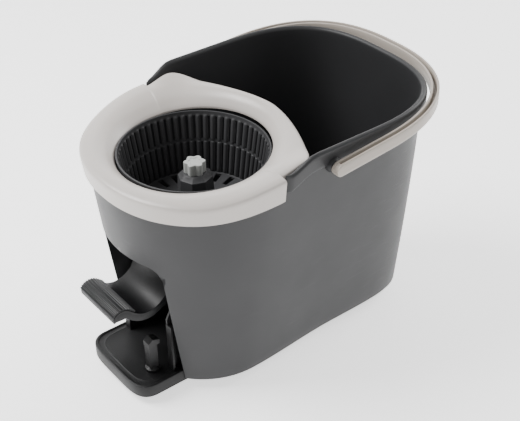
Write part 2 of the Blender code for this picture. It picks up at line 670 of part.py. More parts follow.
def make_strut():
    """The stop under the pedal: a channel post with a round foot and a sloping head."""
    x, y = STRUT_AT
    base = FLOOR_Z + GAP
    half, depth, wall = STRUT_HALF, STRUT_HALF, STRUT_WALL
    outline = [(x - half, y - depth), (x + half, y - depth), (x + half, y + depth),
               (x + half - wall, y + depth), (x + half - wall, y - depth + wall),
               (x - half + wall, y - depth + wall), (x - half + wall, y + depth),
               (x - half, y + depth)]
    low, high = base + 0.001, STRUT_TOP - 0.005
    strut = add("front_strut", flat([outline], high - low), PEDAL_BLACK, at(0, 0, (low + high) / 2))
    foot_line = [(0, base + 0.010), (STRUT_FOOT_R, base + 0.004), (STRUT_FOOT_R, base), (0, base)]
    foot = turned("strut_foot", foot_line,
                  PEDAL_BLACK,
                  at(x, y, 0), 16, cutter=True)
    front, rear = y - depth - 0.0006, y + depth + 0.004
    slope = [(front, STRUT_TOP - 0.013), (rear, STRUT_TOP - 0.010), (rear, STRUT_TOP - 0.004),
             (y, STRUT_TOP), (front, STRUT_TOP - 0.005)]
    head = add("strut_head", flat([slope], 2 * half + 0.001), PEDAL_BLACK,
               at(x, 0, 0) @ ALONG_X, cutter=True)
    boolean(strut, foot, "UNION")
    boolean(strut, head, "UNION")


# ---------------------------------------------------------------- gears

def tooth_angles(teeth, module, pitch_r, addendum, dedendum):
    """Half angles of a tooth at root, and at tip, with backlash left at the pitch circle."""
    middle = math.pi / (2 * teeth) * TOOTH_FILL
    slope = math.tan(math.radians(20)) * module / pitch_r
    return middle + slope * dedendum, middle - slope * addendum


def tooth_outline(teeth, module, first, last, phase):
    """Root and tip points of teeth number first to last of a gear; phase turns tooth 0 to its place."""
    pitch_r = module * teeth / 2
    root, tip = tooth_angles(teeth, module, pitch_r, 0.8, 1.0)
    points = []
    for i in range(first, last + 1):
        centre = phase + 2 * math.pi * i / teeth
        for r, half in ((-1.0, -root), (0.8, -tip), (0.8, tip), (-1.0, root)):
            radius = pitch_r + r * module
            points.append((radius * math.cos(centre + half), radius * math.sin(centre + half)))
    return points


def make_spur_gears():
    contact = math.atan2(SHAFT_Z - AXLE_Z, -AXLE_Y)
    travel = math.radians(PEDAL_TRAVEL)
    pitch = 2 * math.pi / SECTOR_TEETH
    before = math.ceil(travel / pitch) + 2
    teeth = tooth_outline(SECTOR_TEETH, SECTOR_MODULE, -before, 2, contact)
    hub = ring_points(0.012, 24)
    first, last = math.atan2(teeth[0][1], teeth[0][0]), math.atan2(teeth[-1][1], teeth[-1][0])
    round_back = [p for p in hub if not first - 0.35 < math.atan2(p[1], p[0]) < last + 0.35]
    round_back.sort(key=lambda p: (math.atan2(p[1], p[0]) - last) % (2 * math.pi))
    bore = ring_points(PEDAL_HUB_R + GAP, 20)
    add("sector_gear", flat([teeth + round_back, bore], 0.006), GEAR_WHITE,
        at(SECTOR_X, AXLE_Y, AXLE_Z) @ ALONG_X)
    gap = contact + math.pi + math.pi / PINION_TEETH
    outline = tooth_outline(PINION_TEETH, SECTOR_MODULE, 0, PINION_TEETH - 1, gap)
    add("pinion", flat([outline, ring_points(SHAFT_R + GAP, 16)], 0.008), GEAR_WHITE,
        at(SECTOR_X, 0, SHAFT_Z) @ ALONG_X)


def bevel_gear(teeth, cone, phase, body, bore):
    """A straight bevel gear about local Z, its apex at the origin. Body is (radius, height) of its back."""
    pitch_r = BEVEL_MODULE * teeth / 2
    height = pitch_r / math.tan(cone)
    root, tip = tooth_angles(teeth, BEVEL_MODULE, pitch_r, 0.8, 1.0)
    out = (math.cos(cone), -math.sin(cone))
    large, small = [], []
    for i in range(teeth):
        centre = phase + 2 * math.pi * i / teeth
        for rise, half in ((-1.0, -root), (0.8, -tip), (0.8, tip), (-1.0, root)):
            r = pitch_r + rise * BEVEL_MODULE * out[0]
            z = height + rise * BEVEL_MODULE * out[1]
            point = Vector((r * math.cos(centre + half), r * math.sin(centre + half), z))
            large.append(point)
            small.append(point * (1 - BEVEL_FACE))
    front = min(p.z for p in small) if cone > math.pi / 4 else small[0].z
    back_r, back_z = body

    def round_ring(radius, z):
        return [(radius * p.x / math.hypot(p.x, p.y), radius * p.y / math.hypot(p.x, p.y), z) for p in large]

    face_z = sum(p.z for p in small) / len(small)
    rings = [round_ring(bore, face_z), small, large, round_ring(back_r, back_z), round_ring(bore, back_z)]
    return loft(rings, wrap=True)


def make_bevels():
    cone = math.atan2(BEVEL_R, BEVEL_SMALL_R)
    apex = at(0, 0, SHAFT_Z)
    to_x = Matrix.Rotation(math.pi / 2, 4, "Y")
    drive = bevel_gear(BEVEL_TEETH, cone, math.pi, (BEVEL_R - 0.003, BEVEL_SMALL_R + 0.006), SHAFT_R + GAP)
    add("drive_bevel", drive, GEAR_WHITE, apex @ to_x)
    small = bevel_gear(BEVEL_SMALL, math.pi / 2 - cone, math.pi / BEVEL_SMALL,
                       (CUP_R + CUP_WALL, CUP_FLOOR - SHAFT_Z), SPINDLE_R + RUN)
    gear = add("spindle_bevel", small, GEAR_WHITE, apex)
    cup = turned("clutch_cup", [
        (CUP_R, CUP_TOP), (CUP_R + CUP_WALL, CUP_TOP), (CUP_R + CUP_WALL, CUP_FLOOR - 0.0008),
        (SPINDLE_R + RUN, CUP_FLOOR - 0.0008), (SPINDLE_R + RUN, CUP_FLOOR + 0.001),
        (CUP_R, CUP_FLOOR + 0.001)],
        GEAR_WHITE, cutter=True)
    boolean(gear, cup, "UNION")
    sleeve("clutch_washer", SPINDLE_R + RUN, CUP_R + CUP_WALL, CUP_TOP + GAP, CUP_TOP + GAP + 0.001, STEEL)
    track = (SPINDLE_R + CUP_R) / 2
    for i in range(ROLLERS):
        a = 2 * math.pi * i / ROLLERS
        rod(f"clutch_roller_{i + 1}", ROLLER_R, CUP_FLOOR + 0.0015, CUP_TOP - 0.0005, STEEL,
            at(track * math.cos(a), track * math.sin(a), 0), 12)


def make_shafts():
    lying = at(0, 0, SHAFT_Z) @ Matrix.Rotation(math.pi / 2, 4, "Y")
    rod("cross_shaft", SHAFT_R, -CHEEK_X - CHEEK_WALL, CHEEK_X + CHEEK_WALL, STEEL, lying, 20)
    turned("spindle", [
        (0, HUB_TOP + STAR_HEIGHT - 0.0045), (SPINDLE_TIP_R, HUB_TOP + STAR_HEIGHT - 0.0045),
        (SPINDLE_TIP_R, HUB_TOP - 0.003 - GAP), (SPINDLE_R, HUB_TOP - 0.003 - GAP), (SPINDLE_R, SPINDLE_FOOT),
        (0, SPINDLE_FOOT)], STEEL, steps=20)
    sleeve("spindle_clip", SPINDLE_R + GAP, 0.008, BRIDGE_Z[1] + 0.006 + GAP, BRIDGE_Z[1] + 0.0075, STEEL,
           steps=16)
    reach = CHEEK_X + CHEEK_WALL + 0.004
    rod("pedal_axle", AXLE_R, -reach, reach, STEEL,
        at(0, AXLE_Y, AXLE_Z) @ Matrix.Rotation(math.pi / 2, 4, "Y"), 20)
    for side, name in ((-1, "axle_clip_left"), (1, "axle_clip_right")):
        low = CHEEK_X + CHEEK_WALL + GAP
        sleeve(name, AXLE_R + GAP, 0.007, low, low + 0.0012, STEEL,
               at(0, AXLE_Y, AXLE_Z) @ Matrix.Rotation(side * math.pi / 2, 4, "Y"), 16)


# ---------------------------------------------------------------- pedal

def pedal_line():
    """The pedal's upper line from the front lip over the tread, through the dip and up the back."""
    points = [(-0.1575, 0.1215), (-0.1575, 0.1280), (-0.1530, 0.1330), (-0.1465, 0.1355), (-0.1395, 0.1345),
              (-0.1330, 0.1300), (-0.1270, 0.1245), (-0.1200, 0.1195), (-0.1110, 0.1165), (-0.1010, 0.1170),
              (-0.0920, 0.1205), (-0.0840, 0.1270), (-0.0775, 0.1360), (-0.0725, 0.1470), (-0.0690, 0.1590),
              (-0.0665, 0.1700)]
    return points


def offset_line(points, distance):
    """The line moved to its right-hand side, seen from +X with Y to the right."""
    moved = []
    for i, (y, z) in enumerate(points):
        y0, z0 = points[max(i - 1, 0)]
        y1, z1 = points[min(i + 1, len(points) - 1)]
        length = math.hypot(y1 - y0, z1 - z0)
        moved.append((y + (z1 - z0) / length * distance, z - (y1 - y0) / length * distance))
    return moved


def make_pedal():
    line = [(y - AXLE_Y, z - AXLE_Z) for y, z in pedal_line()]
    under = offset_line(line, PEDAL_WALL)
    frame = at(0, AXLE_Y, AXLE_Z) @ ALONG_X
    pedal = add("pedal", flat([line + under[::-1]], 2 * PEDAL_HALF), PEDAL_BLACK, frame)
    deep = offset_line(line, PEDAL_FLANGE)
    hub = [(0.012 * math.cos(math.radians(d)), 0.012 * math.sin(math.radians(d))) for d in range(-110, 111, 20)]
    inside = offset_line(line, PEDAL_WALL / 2)
    front_foot = (inside[1][0], inside[1][1] - 0.005)
    cheek = [front_foot] + inside[1:-1] + hub[::-1] + deep[5:9][::-1]
    for side in (-1, 1):
        arm = add(f"pedal_arm_{side}", flat([cheek], PEDAL_WALL), PEDAL_BLACK,
                  at(side * (PEDAL_HALF - PEDAL_WALL / 2 - 0.0002), 0, 0) @ frame, cutter=True)
        boolean(pedal, arm, "UNION")
    lying = at(0, AXLE_Y, AXLE_Z) @ Matrix.Rotation(math.pi / 2, 4, "Y")
    tube = rod("pedal_hub", PEDAL_HUB_R, -PEDAL_HALF + 0.0005, PEDAL_HALF - 0.0005, PEDAL_BLACK, lying, 20,
               cutter=True)
    bore = rod("pedal_bore", AXLE_R + RUN, -0.1, 0.1, PEDAL_BLACK, lying, 20, cutter=True)
    boolean(pedal, tube, "UNION")
    boolean(pedal, bore, "DIFFERENCE")
    top = offset_line(line[1:7], -GAP)
    ribbed = []
    for i, (here, there) in enumerate(zip(offset_line(line[1:7], -0.0022),
                                          offset_line(line[1:7], -0.0022)[1:])):
        crest = [offset_line([here, there], -0.0012)[0], offset_line([here, there], -0.0012)[1]]
        for share, high in ((0, 0), (0.18, 1), (0.42, 1), (0.5, 0), (0.68, 1), (0.92, 1)):
            low_point = (here[0] + (there[0] - here[0]) * share, here[1] + (there[1] - here[1]) * share)
            high_point = (crest[0][0] + (crest[1][0] - crest[0][0]) * share,
                          crest[0][1] + (crest[1][1] - crest[0][1]) * share)
            ribbed.append(high_point if high else low_point)
    ribbed.append(offset_line(line[1:7], -0.0022)[-1])
    add("tread_pad", flat([ribbed + top[::-1]], 2 * PEDAL_HALF - 0.001), PEDAL_BLACK, frame)


def make_spring():
    turns, steps, coil_r, wire = 4, 12, 0.0092, 0.0008
    start, pitch = 0.012, 0.0024
    points = [(start, AXLE_Y - 0.018, AXLE_Z - 0.004)]
    for i in range(turns * steps + 1):
        a = 2 * math.pi * i / steps + math.pi / 2
        points.append((start + pitch * i / steps, AXLE_Y - coil_r * math.sin(a),
                       AXLE_Z + coil_r * math.cos(a)))
    end = start + pitch * turns
    points.append((end, AXLE_Y + 0.004, AXLE_Z + 0.024))
    curve = bpy.data.curves.new("return_spring", "CURVE")
    curve.dimensions = "3D"
    curve.bevel_depth = wire
    curve.bevel_resolution = 1
    curve.use_fill_caps = True
    spline = curve.splines.new("POLY")
    spline.points.add(len(points) - 1)
    for point, place in zip(spline.points, points):
        point.co = (*place, 1)
    curve.materials.append(STEEL)
    spring = bpy.data.objects.new("return_spring", curve)
    PARTS.objects.link(spring)
    spring.parent = ROOT


# ---------------------------------------------------------------- bail

def bail_path():
    """Centre line of the bail in its own plane, from the left arm's end round the back to the right one's."""
    half = BAIL_HALF - BAIL_THICK / 2
    back = BAIL_BACK - BAIL_THICK / 2 - BAIL_CENTRE_Y
    arc = []
    for i in range(BAIL_STEPS + 1):
        a = math.pi / 2 * i / BAIL_STEPS
        arc.append((half * math.cos(a) ** (2 / BAIL_POWER),
                    BAIL_CENTRE_Y + back * math.sin(a) ** (2 / BAIL_POWER)))
    arc[-1] = (0.0, arc[-1][1])
    ends = (0, 0.0008, 0.003, 0.006, BAIL_HEIGHT / 2)
    right = [(half, BAIL_PIVOT_Y - BAIL_HEIGHT / 2 + e) for e in ends] + arc
    return [(-x, y) for x, y in right] + right[-2::-1]


def make_bail():
    path = bail_path()
    end = BAIL_PIVOT_Y - BAIL_HEIGHT / 2
    rings = []
    for i, (x, y) in enumerate(path):
        x0, y0 = path[max(i - 1, 0)]
        x1, y1 = path[min(i + 1, len(path) - 1)]
        along = Vector((x1 - x0, y1 - y0)).normalized()
        out = Vector((-along.y, along.x))
        reach = min(y - end, BAIL_HEIGHT / 2)
        tall = math.sqrt(max(BAIL_HEIGHT ** 2 / 4 - (BAIL_HEIGHT / 2 - reach) ** 2, 1e-6))
        groove = min(BAIL_GROOVE, tall * 2 - 0.0004) if reach >= BAIL_HEIGHT / 2 else 0.0002
        centre_z = BAIL_PIVOT_Z + (y - BAIL_PIVOT_Y) * BAIL_TILT
        wide, slot = BAIL_THICK / 2, BAIL_THICK / 2 - BAIL_FLANGE
        section = [(-wide, -tall), (wide, -tall), (wide, tall), (slot, tall), (slot, tall - groove),
                   (-slot, tall - groove), (-slot, tall), (-wide, tall)]
        rings.append([(x + out.x * o, y + out.y * o, centre_z + h) for o, h in section])
    bail = add("bail", loft(rings), BAIL_TAUPE)
    for side, name in ((-1, "pivot_peg_left"), (1, "pivot_peg_right")):
        turn = at(side * PEG_FOOT_X, BAIL_PIVOT_Y, BAIL_PIVOT_Z) @ Matrix.Rotation(side * math.pi / 2, 4, "Y")
        reach = BAIL_HALF - 0.003 - PEG_FOOT_X
        hole = rod(f"{name}_hole", PEG_R + RUN, -0.01, reach + GAP, BAIL_TAUPE, turn, 20, cutter=True)
        boolean(bail, hole, "DIFFERENCE")
        rod(name, PEG_R, -0.001, reach, STEEL, turn, 20)


make_tub()
make_collar()
make_basket()
make_star()
make_base()
make_housing()
make_bridge()
make_strut()
make_spur_gears()
make_bevels()
make_shafts()
make_pedal()
make_spring()
make_bail()
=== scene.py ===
"""The look of a pedal-driven spin mop bucket: moulded tub, collar, slotted basket, bail and pedal."""
import math

import bpy
import bmesh
import numpy as np
from mathutils import Matrix, Vector


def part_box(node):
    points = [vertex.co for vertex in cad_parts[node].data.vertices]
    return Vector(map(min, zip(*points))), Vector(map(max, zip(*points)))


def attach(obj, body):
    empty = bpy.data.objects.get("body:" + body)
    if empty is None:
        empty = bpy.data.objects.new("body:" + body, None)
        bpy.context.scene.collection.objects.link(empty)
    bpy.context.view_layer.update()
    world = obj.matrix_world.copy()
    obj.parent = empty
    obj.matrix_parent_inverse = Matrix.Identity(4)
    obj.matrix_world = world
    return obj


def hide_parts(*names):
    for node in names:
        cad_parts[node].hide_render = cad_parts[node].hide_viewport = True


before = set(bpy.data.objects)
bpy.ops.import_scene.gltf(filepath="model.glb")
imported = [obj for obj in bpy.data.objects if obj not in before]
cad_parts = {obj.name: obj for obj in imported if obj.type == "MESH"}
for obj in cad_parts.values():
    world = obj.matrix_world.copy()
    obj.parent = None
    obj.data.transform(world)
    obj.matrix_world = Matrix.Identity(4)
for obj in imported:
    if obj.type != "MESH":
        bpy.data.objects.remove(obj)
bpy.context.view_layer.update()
STAR_LOW, STAR_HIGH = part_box("drive_star")
AXIS_Y = (STAR_LOW[1] + STAR_HIGH[1]) / 2     # the basket's axis; pieces are worked out from it


# ---------------------------------------------------------------- moulded plastic
# Every plastic piece is injection moulded: a fine spark-eroded grain, a little flow mottling and
# faint rubbing marks that are smoother than the grain round them.

def noise(nodes, links, coordinates, scale, detail, stretch=(1, 1, 1)):
    """A noise texture over object coordinates, stretched along the axes."""
    mapping = nodes.new("ShaderNodeMapping")
    mapping.inputs["Scale"].default_value = stretch
    texture = nodes.new("ShaderNodeTexNoise")
    texture.inputs["Scale"].default_value = scale
    texture.inputs["Detail"].default_value = detail
    links.new(coordinates, mapping.inputs["Vector"])
    links.new(mapping.outputs["Vector"], texture.inputs["Vector"])
    return texture.outputs["Fac"]


def remap(nodes, links, value, low, high, to_low, to_high):
    """value from low..high to to_low..to_high, clamped."""
    step = nodes.new("ShaderNodeMapRange")
    for name, number in (("From Min", low), ("From Max", high), ("To Min", to_low), ("To Max", to_high)):
        step.inputs[name].default_value = number
    links.new(value, step.inputs["Value"])
    return step.outputs["Result"]


def moulded_group():
    """Colour, roughness and normal of moulded plastic, from two colours, a roughness and a grain depth."""
    group = bpy.data.node_groups.new("moulded_plastic", "ShaderNodeTree")
    for name, kind in (("Colour", "Color"), ("Shade", "Color"), ("Roughness", "Float"), ("Grain", "Float")):
        group.interface.new_socket(name=name, in_out="INPUT", socket_type="NodeSocket" + kind)
    for name, kind in (("Colour", "Color"), ("Roughness", "Float"), ("Normal", "Vector")):
        group.interface.new_socket(name=name, in_out="OUTPUT", socket_type="NodeSocket" + kind)
    nodes, links = group.nodes, group.links
    given, result = nodes.new("NodeGroupInput"), nodes.new("NodeGroupOutput")
    place = nodes.new("ShaderNodeTexCoord").outputs["Object"]
    mottle = remap(nodes, links, noise(nodes, links, place, 9, 4), 0.35, 0.65, 0, 1)
    mix = nodes.new("ShaderNodeMix")
    mix.data_type = "RGBA"
    links.new(mottle, mix.inputs["Factor"])
    links.new(given.outputs["Colour"], mix.inputs["A"])
    links.new(given.outputs["Shade"], mix.inputs["B"])
    links.new(mix.outputs["Result"], result.inputs["Colour"])
    rub = remap(nodes, links, noise(nodes, links, place, 30, 5, (1, 1, 9)), 0.60, 0.72, 0, -0.07)
    cloud = remap(nodes, links, noise(nodes, links, place, 22, 3), 0.3, 0.7, -0.03, 0.03)
    total = nodes.new("ShaderNodeMath")
    total.operation = "ADD"
    links.new(rub, total.inputs[0])
    links.new(cloud, total.inputs[1])
    rough = nodes.new("ShaderNodeMath")
    rough.operation = "ADD"
    links.new(given.outputs["Roughness"], rough.inputs[0])
    links.new(total.outputs["Value"], rough.inputs[1])
    links.new(rough.outputs["Value"], result.inputs["Roughness"])
    grain = nodes.new("ShaderNodeBump")
    grain.inputs["Distance"].default_value = 0.0004
    links.new(noise(nodes, links, place, 1400, 2), grain.inputs["Height"])
    links.new(given.outputs["Grain"], grain.inputs["Strength"])
    wave = nodes.new("ShaderNodeBump")
    wave.inputs["Distance"].default_value = 0.004
    wave.inputs["Strength"].default_value = 0.05
    links.new(noise(nodes, links, place, 12, 1), wave.inputs["Height"])
    links.new(grain.outputs["Normal"], wave.inputs["Normal"])
    links.new(wave.outputs["Normal"], result.inputs["Normal"])
    return group


MOULDED = moulded_group()


def plastic(name, colour, shade, roughness, grain, coat=0.0, specular=0.5):
    """A moulded plastic in two close colours."""
    made = bpy.data.materials.new(name)
    made.use_nodes = True
    nodes, links = made.node_tree.nodes, made.node_tree.links
    shader = nodes["Principled BSDF"]
    skin = nodes.new("ShaderNodeGroup")
    skin.node_tree = MOULDED
    skin.inputs["Colour"].default_value = (*colour, 1)
    skin.inputs["Shade"].default_value = (*shade, 1)
    skin.inputs["Roughness"].default_value = roughness
    skin.inputs["Grain"].default_value = grain
    shader.inputs["Coat Weight"].default_value = coat
    shader.inputs["Coat Roughness"].default_value = 0.25
    shader.inputs["Specular IOR Level"].default_value = specular
    links.new(skin.outputs["Colour"], shader.inputs["Base Color"])
    links.new(skin.outputs["Roughness"], shader.inputs["Roughness"])
    links.new(skin.outputs["Normal"], shader.inputs["Normal"])
    return made


# ---------------------------------------------------------------- bucket
# The tub is one polypropylene moulding: an oval shell on a draft, a rolled rim round the rinsing
# half, and a tunnel moulded up through the floor at the front that houses the drive unit.

HEIGHT, LIFT, WALL, FLOOR_WALL = 0.334, 0.002, 0.003, 0.0035    # rim, underside, wall, floor
CENTRE_Y, FRONT_POWER = (0.005, 0.020), (2.0, 2.2)              # round front, at the floor and at the rim
FRONT_R, FRONT_DRAFT, SHOULDER_DRAFT = 0.106, 0.090, 0.1334     # its radius, growth in depth and in width
SIDE, SIDE_DRAFT, SHOULDER_END = 0.0985, 0.157, (0.150, 0.055)  # half width, and where it is reached
BACK, BACK_DRAFT, BACK_POWER, BACK_CENTRE_Y = 0.300, 0.033, (4.5, 2.8), 0.150
NOTCH_Y, NOTCH_Z, SEAT_Z, WAVE_END = 0.0275, 0.317, 0.293, 0.070
CLIMB, CLIMB_START = 0.012, -0.090
LIP, LIP_DROP, LIP_STEP, ROLL = 0.005, 0.026, 0.003, 0.0048
OUTER_EDGE, INNER_EDGE = 0.004, 0.006                           # radii round the floor
RECESS_HALF, RECESS_TOP, RECESS_BACK, RECESS_CORNER = 0.0675, 0.194, 0.055, 0.018


def smooth(value, low, high):
    """0 below low, 1 above high, an even S between."""
    t = np.clip((value - low) / (high - low), 0, 1)
    return t * t * (3 - 2 * t)


def up(floor, rim, z):
    """A size given at the floor and at the rim, at height z."""
    return floor + (rim - floor) * z / HEIGHT


def front_of(z, grow):
    """Centre, half width, depth and squareness of the round front at height z."""
    centre = up(*CENTRE_Y, z)
    depth = FRONT_R + FRONT_DRAFT * z + centre - CENTRE_Y[0] + grow
    return centre, FRONT_R + SHOULDER_DRAFT * z + grow, depth, up(*FRONT_POWER, z)


def side_of(z, grow):
    """Half width of the straight sides at height z."""
    return SIDE + SIDE_DRAFT * z + grow


def half_width(y, z, grow):
    """Half width of the tub at y and z: a superellipse in front, then a smooth passage to the side."""
    centre, half, depth, power = front_of(z, grow)
    ahead = np.clip((centre - y) / depth, 0, 1)
    passage = smooth(y, centre, up(*SHOULDER_END, z))
    return half * (1 - ahead ** power) ** (1 / power) + (side_of(z, grow) - half) * passage


def climb(y):
    """How far the rim under the collar has risen at y."""
    return CLIMB * smooth(y, CLIMB_START, NOTCH_Y)


def rim_height(y):
    """Height of the tub's rim at y: low under the collar, a step at the notch, a wave to full height."""
    wave = NOTCH_Z + (HEIGHT - NOTCH_Z) * smooth(y, NOTCH_Y, WAVE_END)
    return np.where(y < NOTCH_Y, SEAT_Z + climb(y), wave)


RECESS_COLUMNS, FRONT_COLUMNS, SEAT_COLUMNS, BACK_COLUMNS = 14, 26, 4, 52
BEFORE_NOTCH = 0.0004                 # how far short of the notch the seat ends, for spacing its columns
# Columns past the notch, from it: the rim steps up between the first two, 0.3 mm on either side.
AFTER_NOTCH = np.array([0, 0.0006, 0.0014, 0.003, 0.006, 0.010, 0.015, 0.021, 0.028, 0.036, 0.045, 0.056,
                        0.070, 0.086, 0.104]) - 0.0003


def half_plan(z, grow):
    """Points of the tub's right half at heights z (one per column): across the recess, round the front,
    along the side past the notch, and round the back as a superellipse."""
    centre, half, depth, power = front_of(z, grow)
    x, y = np.empty_like(z), np.empty_like(z)
    a = slice(0, RECESS_COLUMNS)
    share = np.linspace(0, 1, RECESS_COLUMNS, endpoint=False)
    x[..., a] = RECESS_HALF * share
    y[..., a] = (centre - depth * (1 - (x / half).clip(0, 1) ** power) ** (1 / power))[..., a]
    b = slice(RECESS_COLUMNS, RECESS_COLUMNS + FRONT_COLUMNS)
    start = np.arcsin((RECESS_HALF / half[..., b]) ** (power[..., b] / 2))
    turn = start + (math.pi / 2 - start) * np.linspace(0, 1, FRONT_COLUMNS)
    x[..., b] = half[..., b] * np.sin(turn) ** (2 / power[..., b])
    y[..., b] = centre[..., b] - depth[..., b] * np.cos(turn).clip(0, 1) ** (2 / power[..., b])
    c = slice(b.stop, b.stop + SEAT_COLUMNS)
    seat = NOTCH_Y - BEFORE_NOTCH - centre[..., c]
    y[..., c] = centre[..., c] + seat * np.linspace(0.2, 0.8, SEAT_COLUMNS)
    d = slice(c.stop, c.stop + len(AFTER_NOTCH))
    y[..., d] = NOTCH_Y + AFTER_NOTCH
    sides = slice(c.start, d.stop)
    x[..., sides] = half_width(y[..., sides], z[..., sides], grow[..., sides])
    e = slice(d.stop, d.stop + BACK_COLUMNS)
    turn = np.linspace(0, math.pi / 2, BACK_COLUMNS)
    square = 2 / up(*BACK_POWER, z[..., e])
    behind = BACK + BACK_DRAFT * z[..., e] + grow[..., e] - BACK_CENTRE_Y
    x[..., e] = side_of(z[..., e], grow[..., e]) * np.cos(turn).clip(0, 1) ** square
    y[..., e] = BACK_CENTRE_Y + behind * np.sin(turn) ** square
    return x, y


COLUMNS = RECESS_COLUMNS + FRONT_COLUMNS + SEAT_COLUMNS + len(AFTER_NOTCH) + BACK_COLUMNS


def arch_height(x):
    """Height of the recess's arch at x: flat with round corners."""
    over = np.clip((abs(x) - (RECESS_HALF - RECESS_CORNER)) / RECESS_CORNER, 0, 1)
    return RECESS_TOP - RECESS_CORNER + RECESS_CORNER * np.sqrt(1 - over ** 2)


def mirrored(half):
    """A full ring of columns from the right half: the same points with x turned, in reverse order."""
    return np.concatenate([half, half[:, -2:0:-1] * np.array([-1, 1, 1])], 1)


def quads(rows, columns, wrap, keep=None):
    """Faces of a grid of points, row by row; wrap joins the last column to the first."""
    i, j = np.meshgrid(np.arange(rows - 1), np.arange(columns if wrap else columns - 1), indexing="ij")
    k = (j + 1) % columns
    faces = np.stack([i * columns + j, i * columns + k, (i + 1) * columns + k, (i + 1) * columns + j], -1)
    return faces[keep] if keep is not None else faces.reshape(-1, 4)


def patch(points, wrap=False, keep=None, away=None):
    """A grid as (points, faces). With away = (x, y, z, sign) it is turned so that its normals lead
    away from that point, or towards it where sign is -1."""
    rows, columns = points.shape[:2]
    faces = quads(rows, columns, wrap, keep)
    flat = points.reshape(-1, 3)
    if away is not None:
        a, b, c, d = (flat[faces[:, i]] for i in range(4))
        normal = np.cross(c - a, d - b)
        lead = ((a + c) / 2 - np.array(away[:3])) * away[3]
        if (normal * lead).sum() < 0:
            faces = faces[:, ::-1]
    return flat, faces.tolist()


def shape(name, patches, surface, angle, closed=False):
    """One object from patches, welded, smooth but for edges sharper than the angle."""
    points, faces, first = [], [], 0
    for flat, group in patches:
        points.append(flat)
        faces += [[first + v for v in face] for face in group]
        first += len(flat)
    mesh = bpy.data.meshes.new(name)
    mesh.from_pydata((np.concatenate(points) + np.array([0, AXIS_Y, 0])).tolist(), [], faces)
    bm = bmesh.new()
    bm.from_mesh(mesh)
    bmesh.ops.remove_doubles(bm, verts=bm.verts, dist=0.000004)
    bmesh.ops.dissolve_degenerate(bm, edges=bm.edges, dist=0.000002)
    if closed:
        bmesh.ops.recalc_face_normals(bm, faces=bm.faces)
    bm.to_mesh(mesh)
    bm.free()
    mesh.shade_smooth()
    mesh.set_sharp_from_angle(angle=math.radians(angle))
    mesh.materials.append(surface)
    thing = bpy.data.objects.new(name, mesh)
    bpy.context.scene.collection.objects.link(thing)
    return thing


FLOOR_RINGS = 8
TUB_MIDDLE = np.array([0, 0.09])


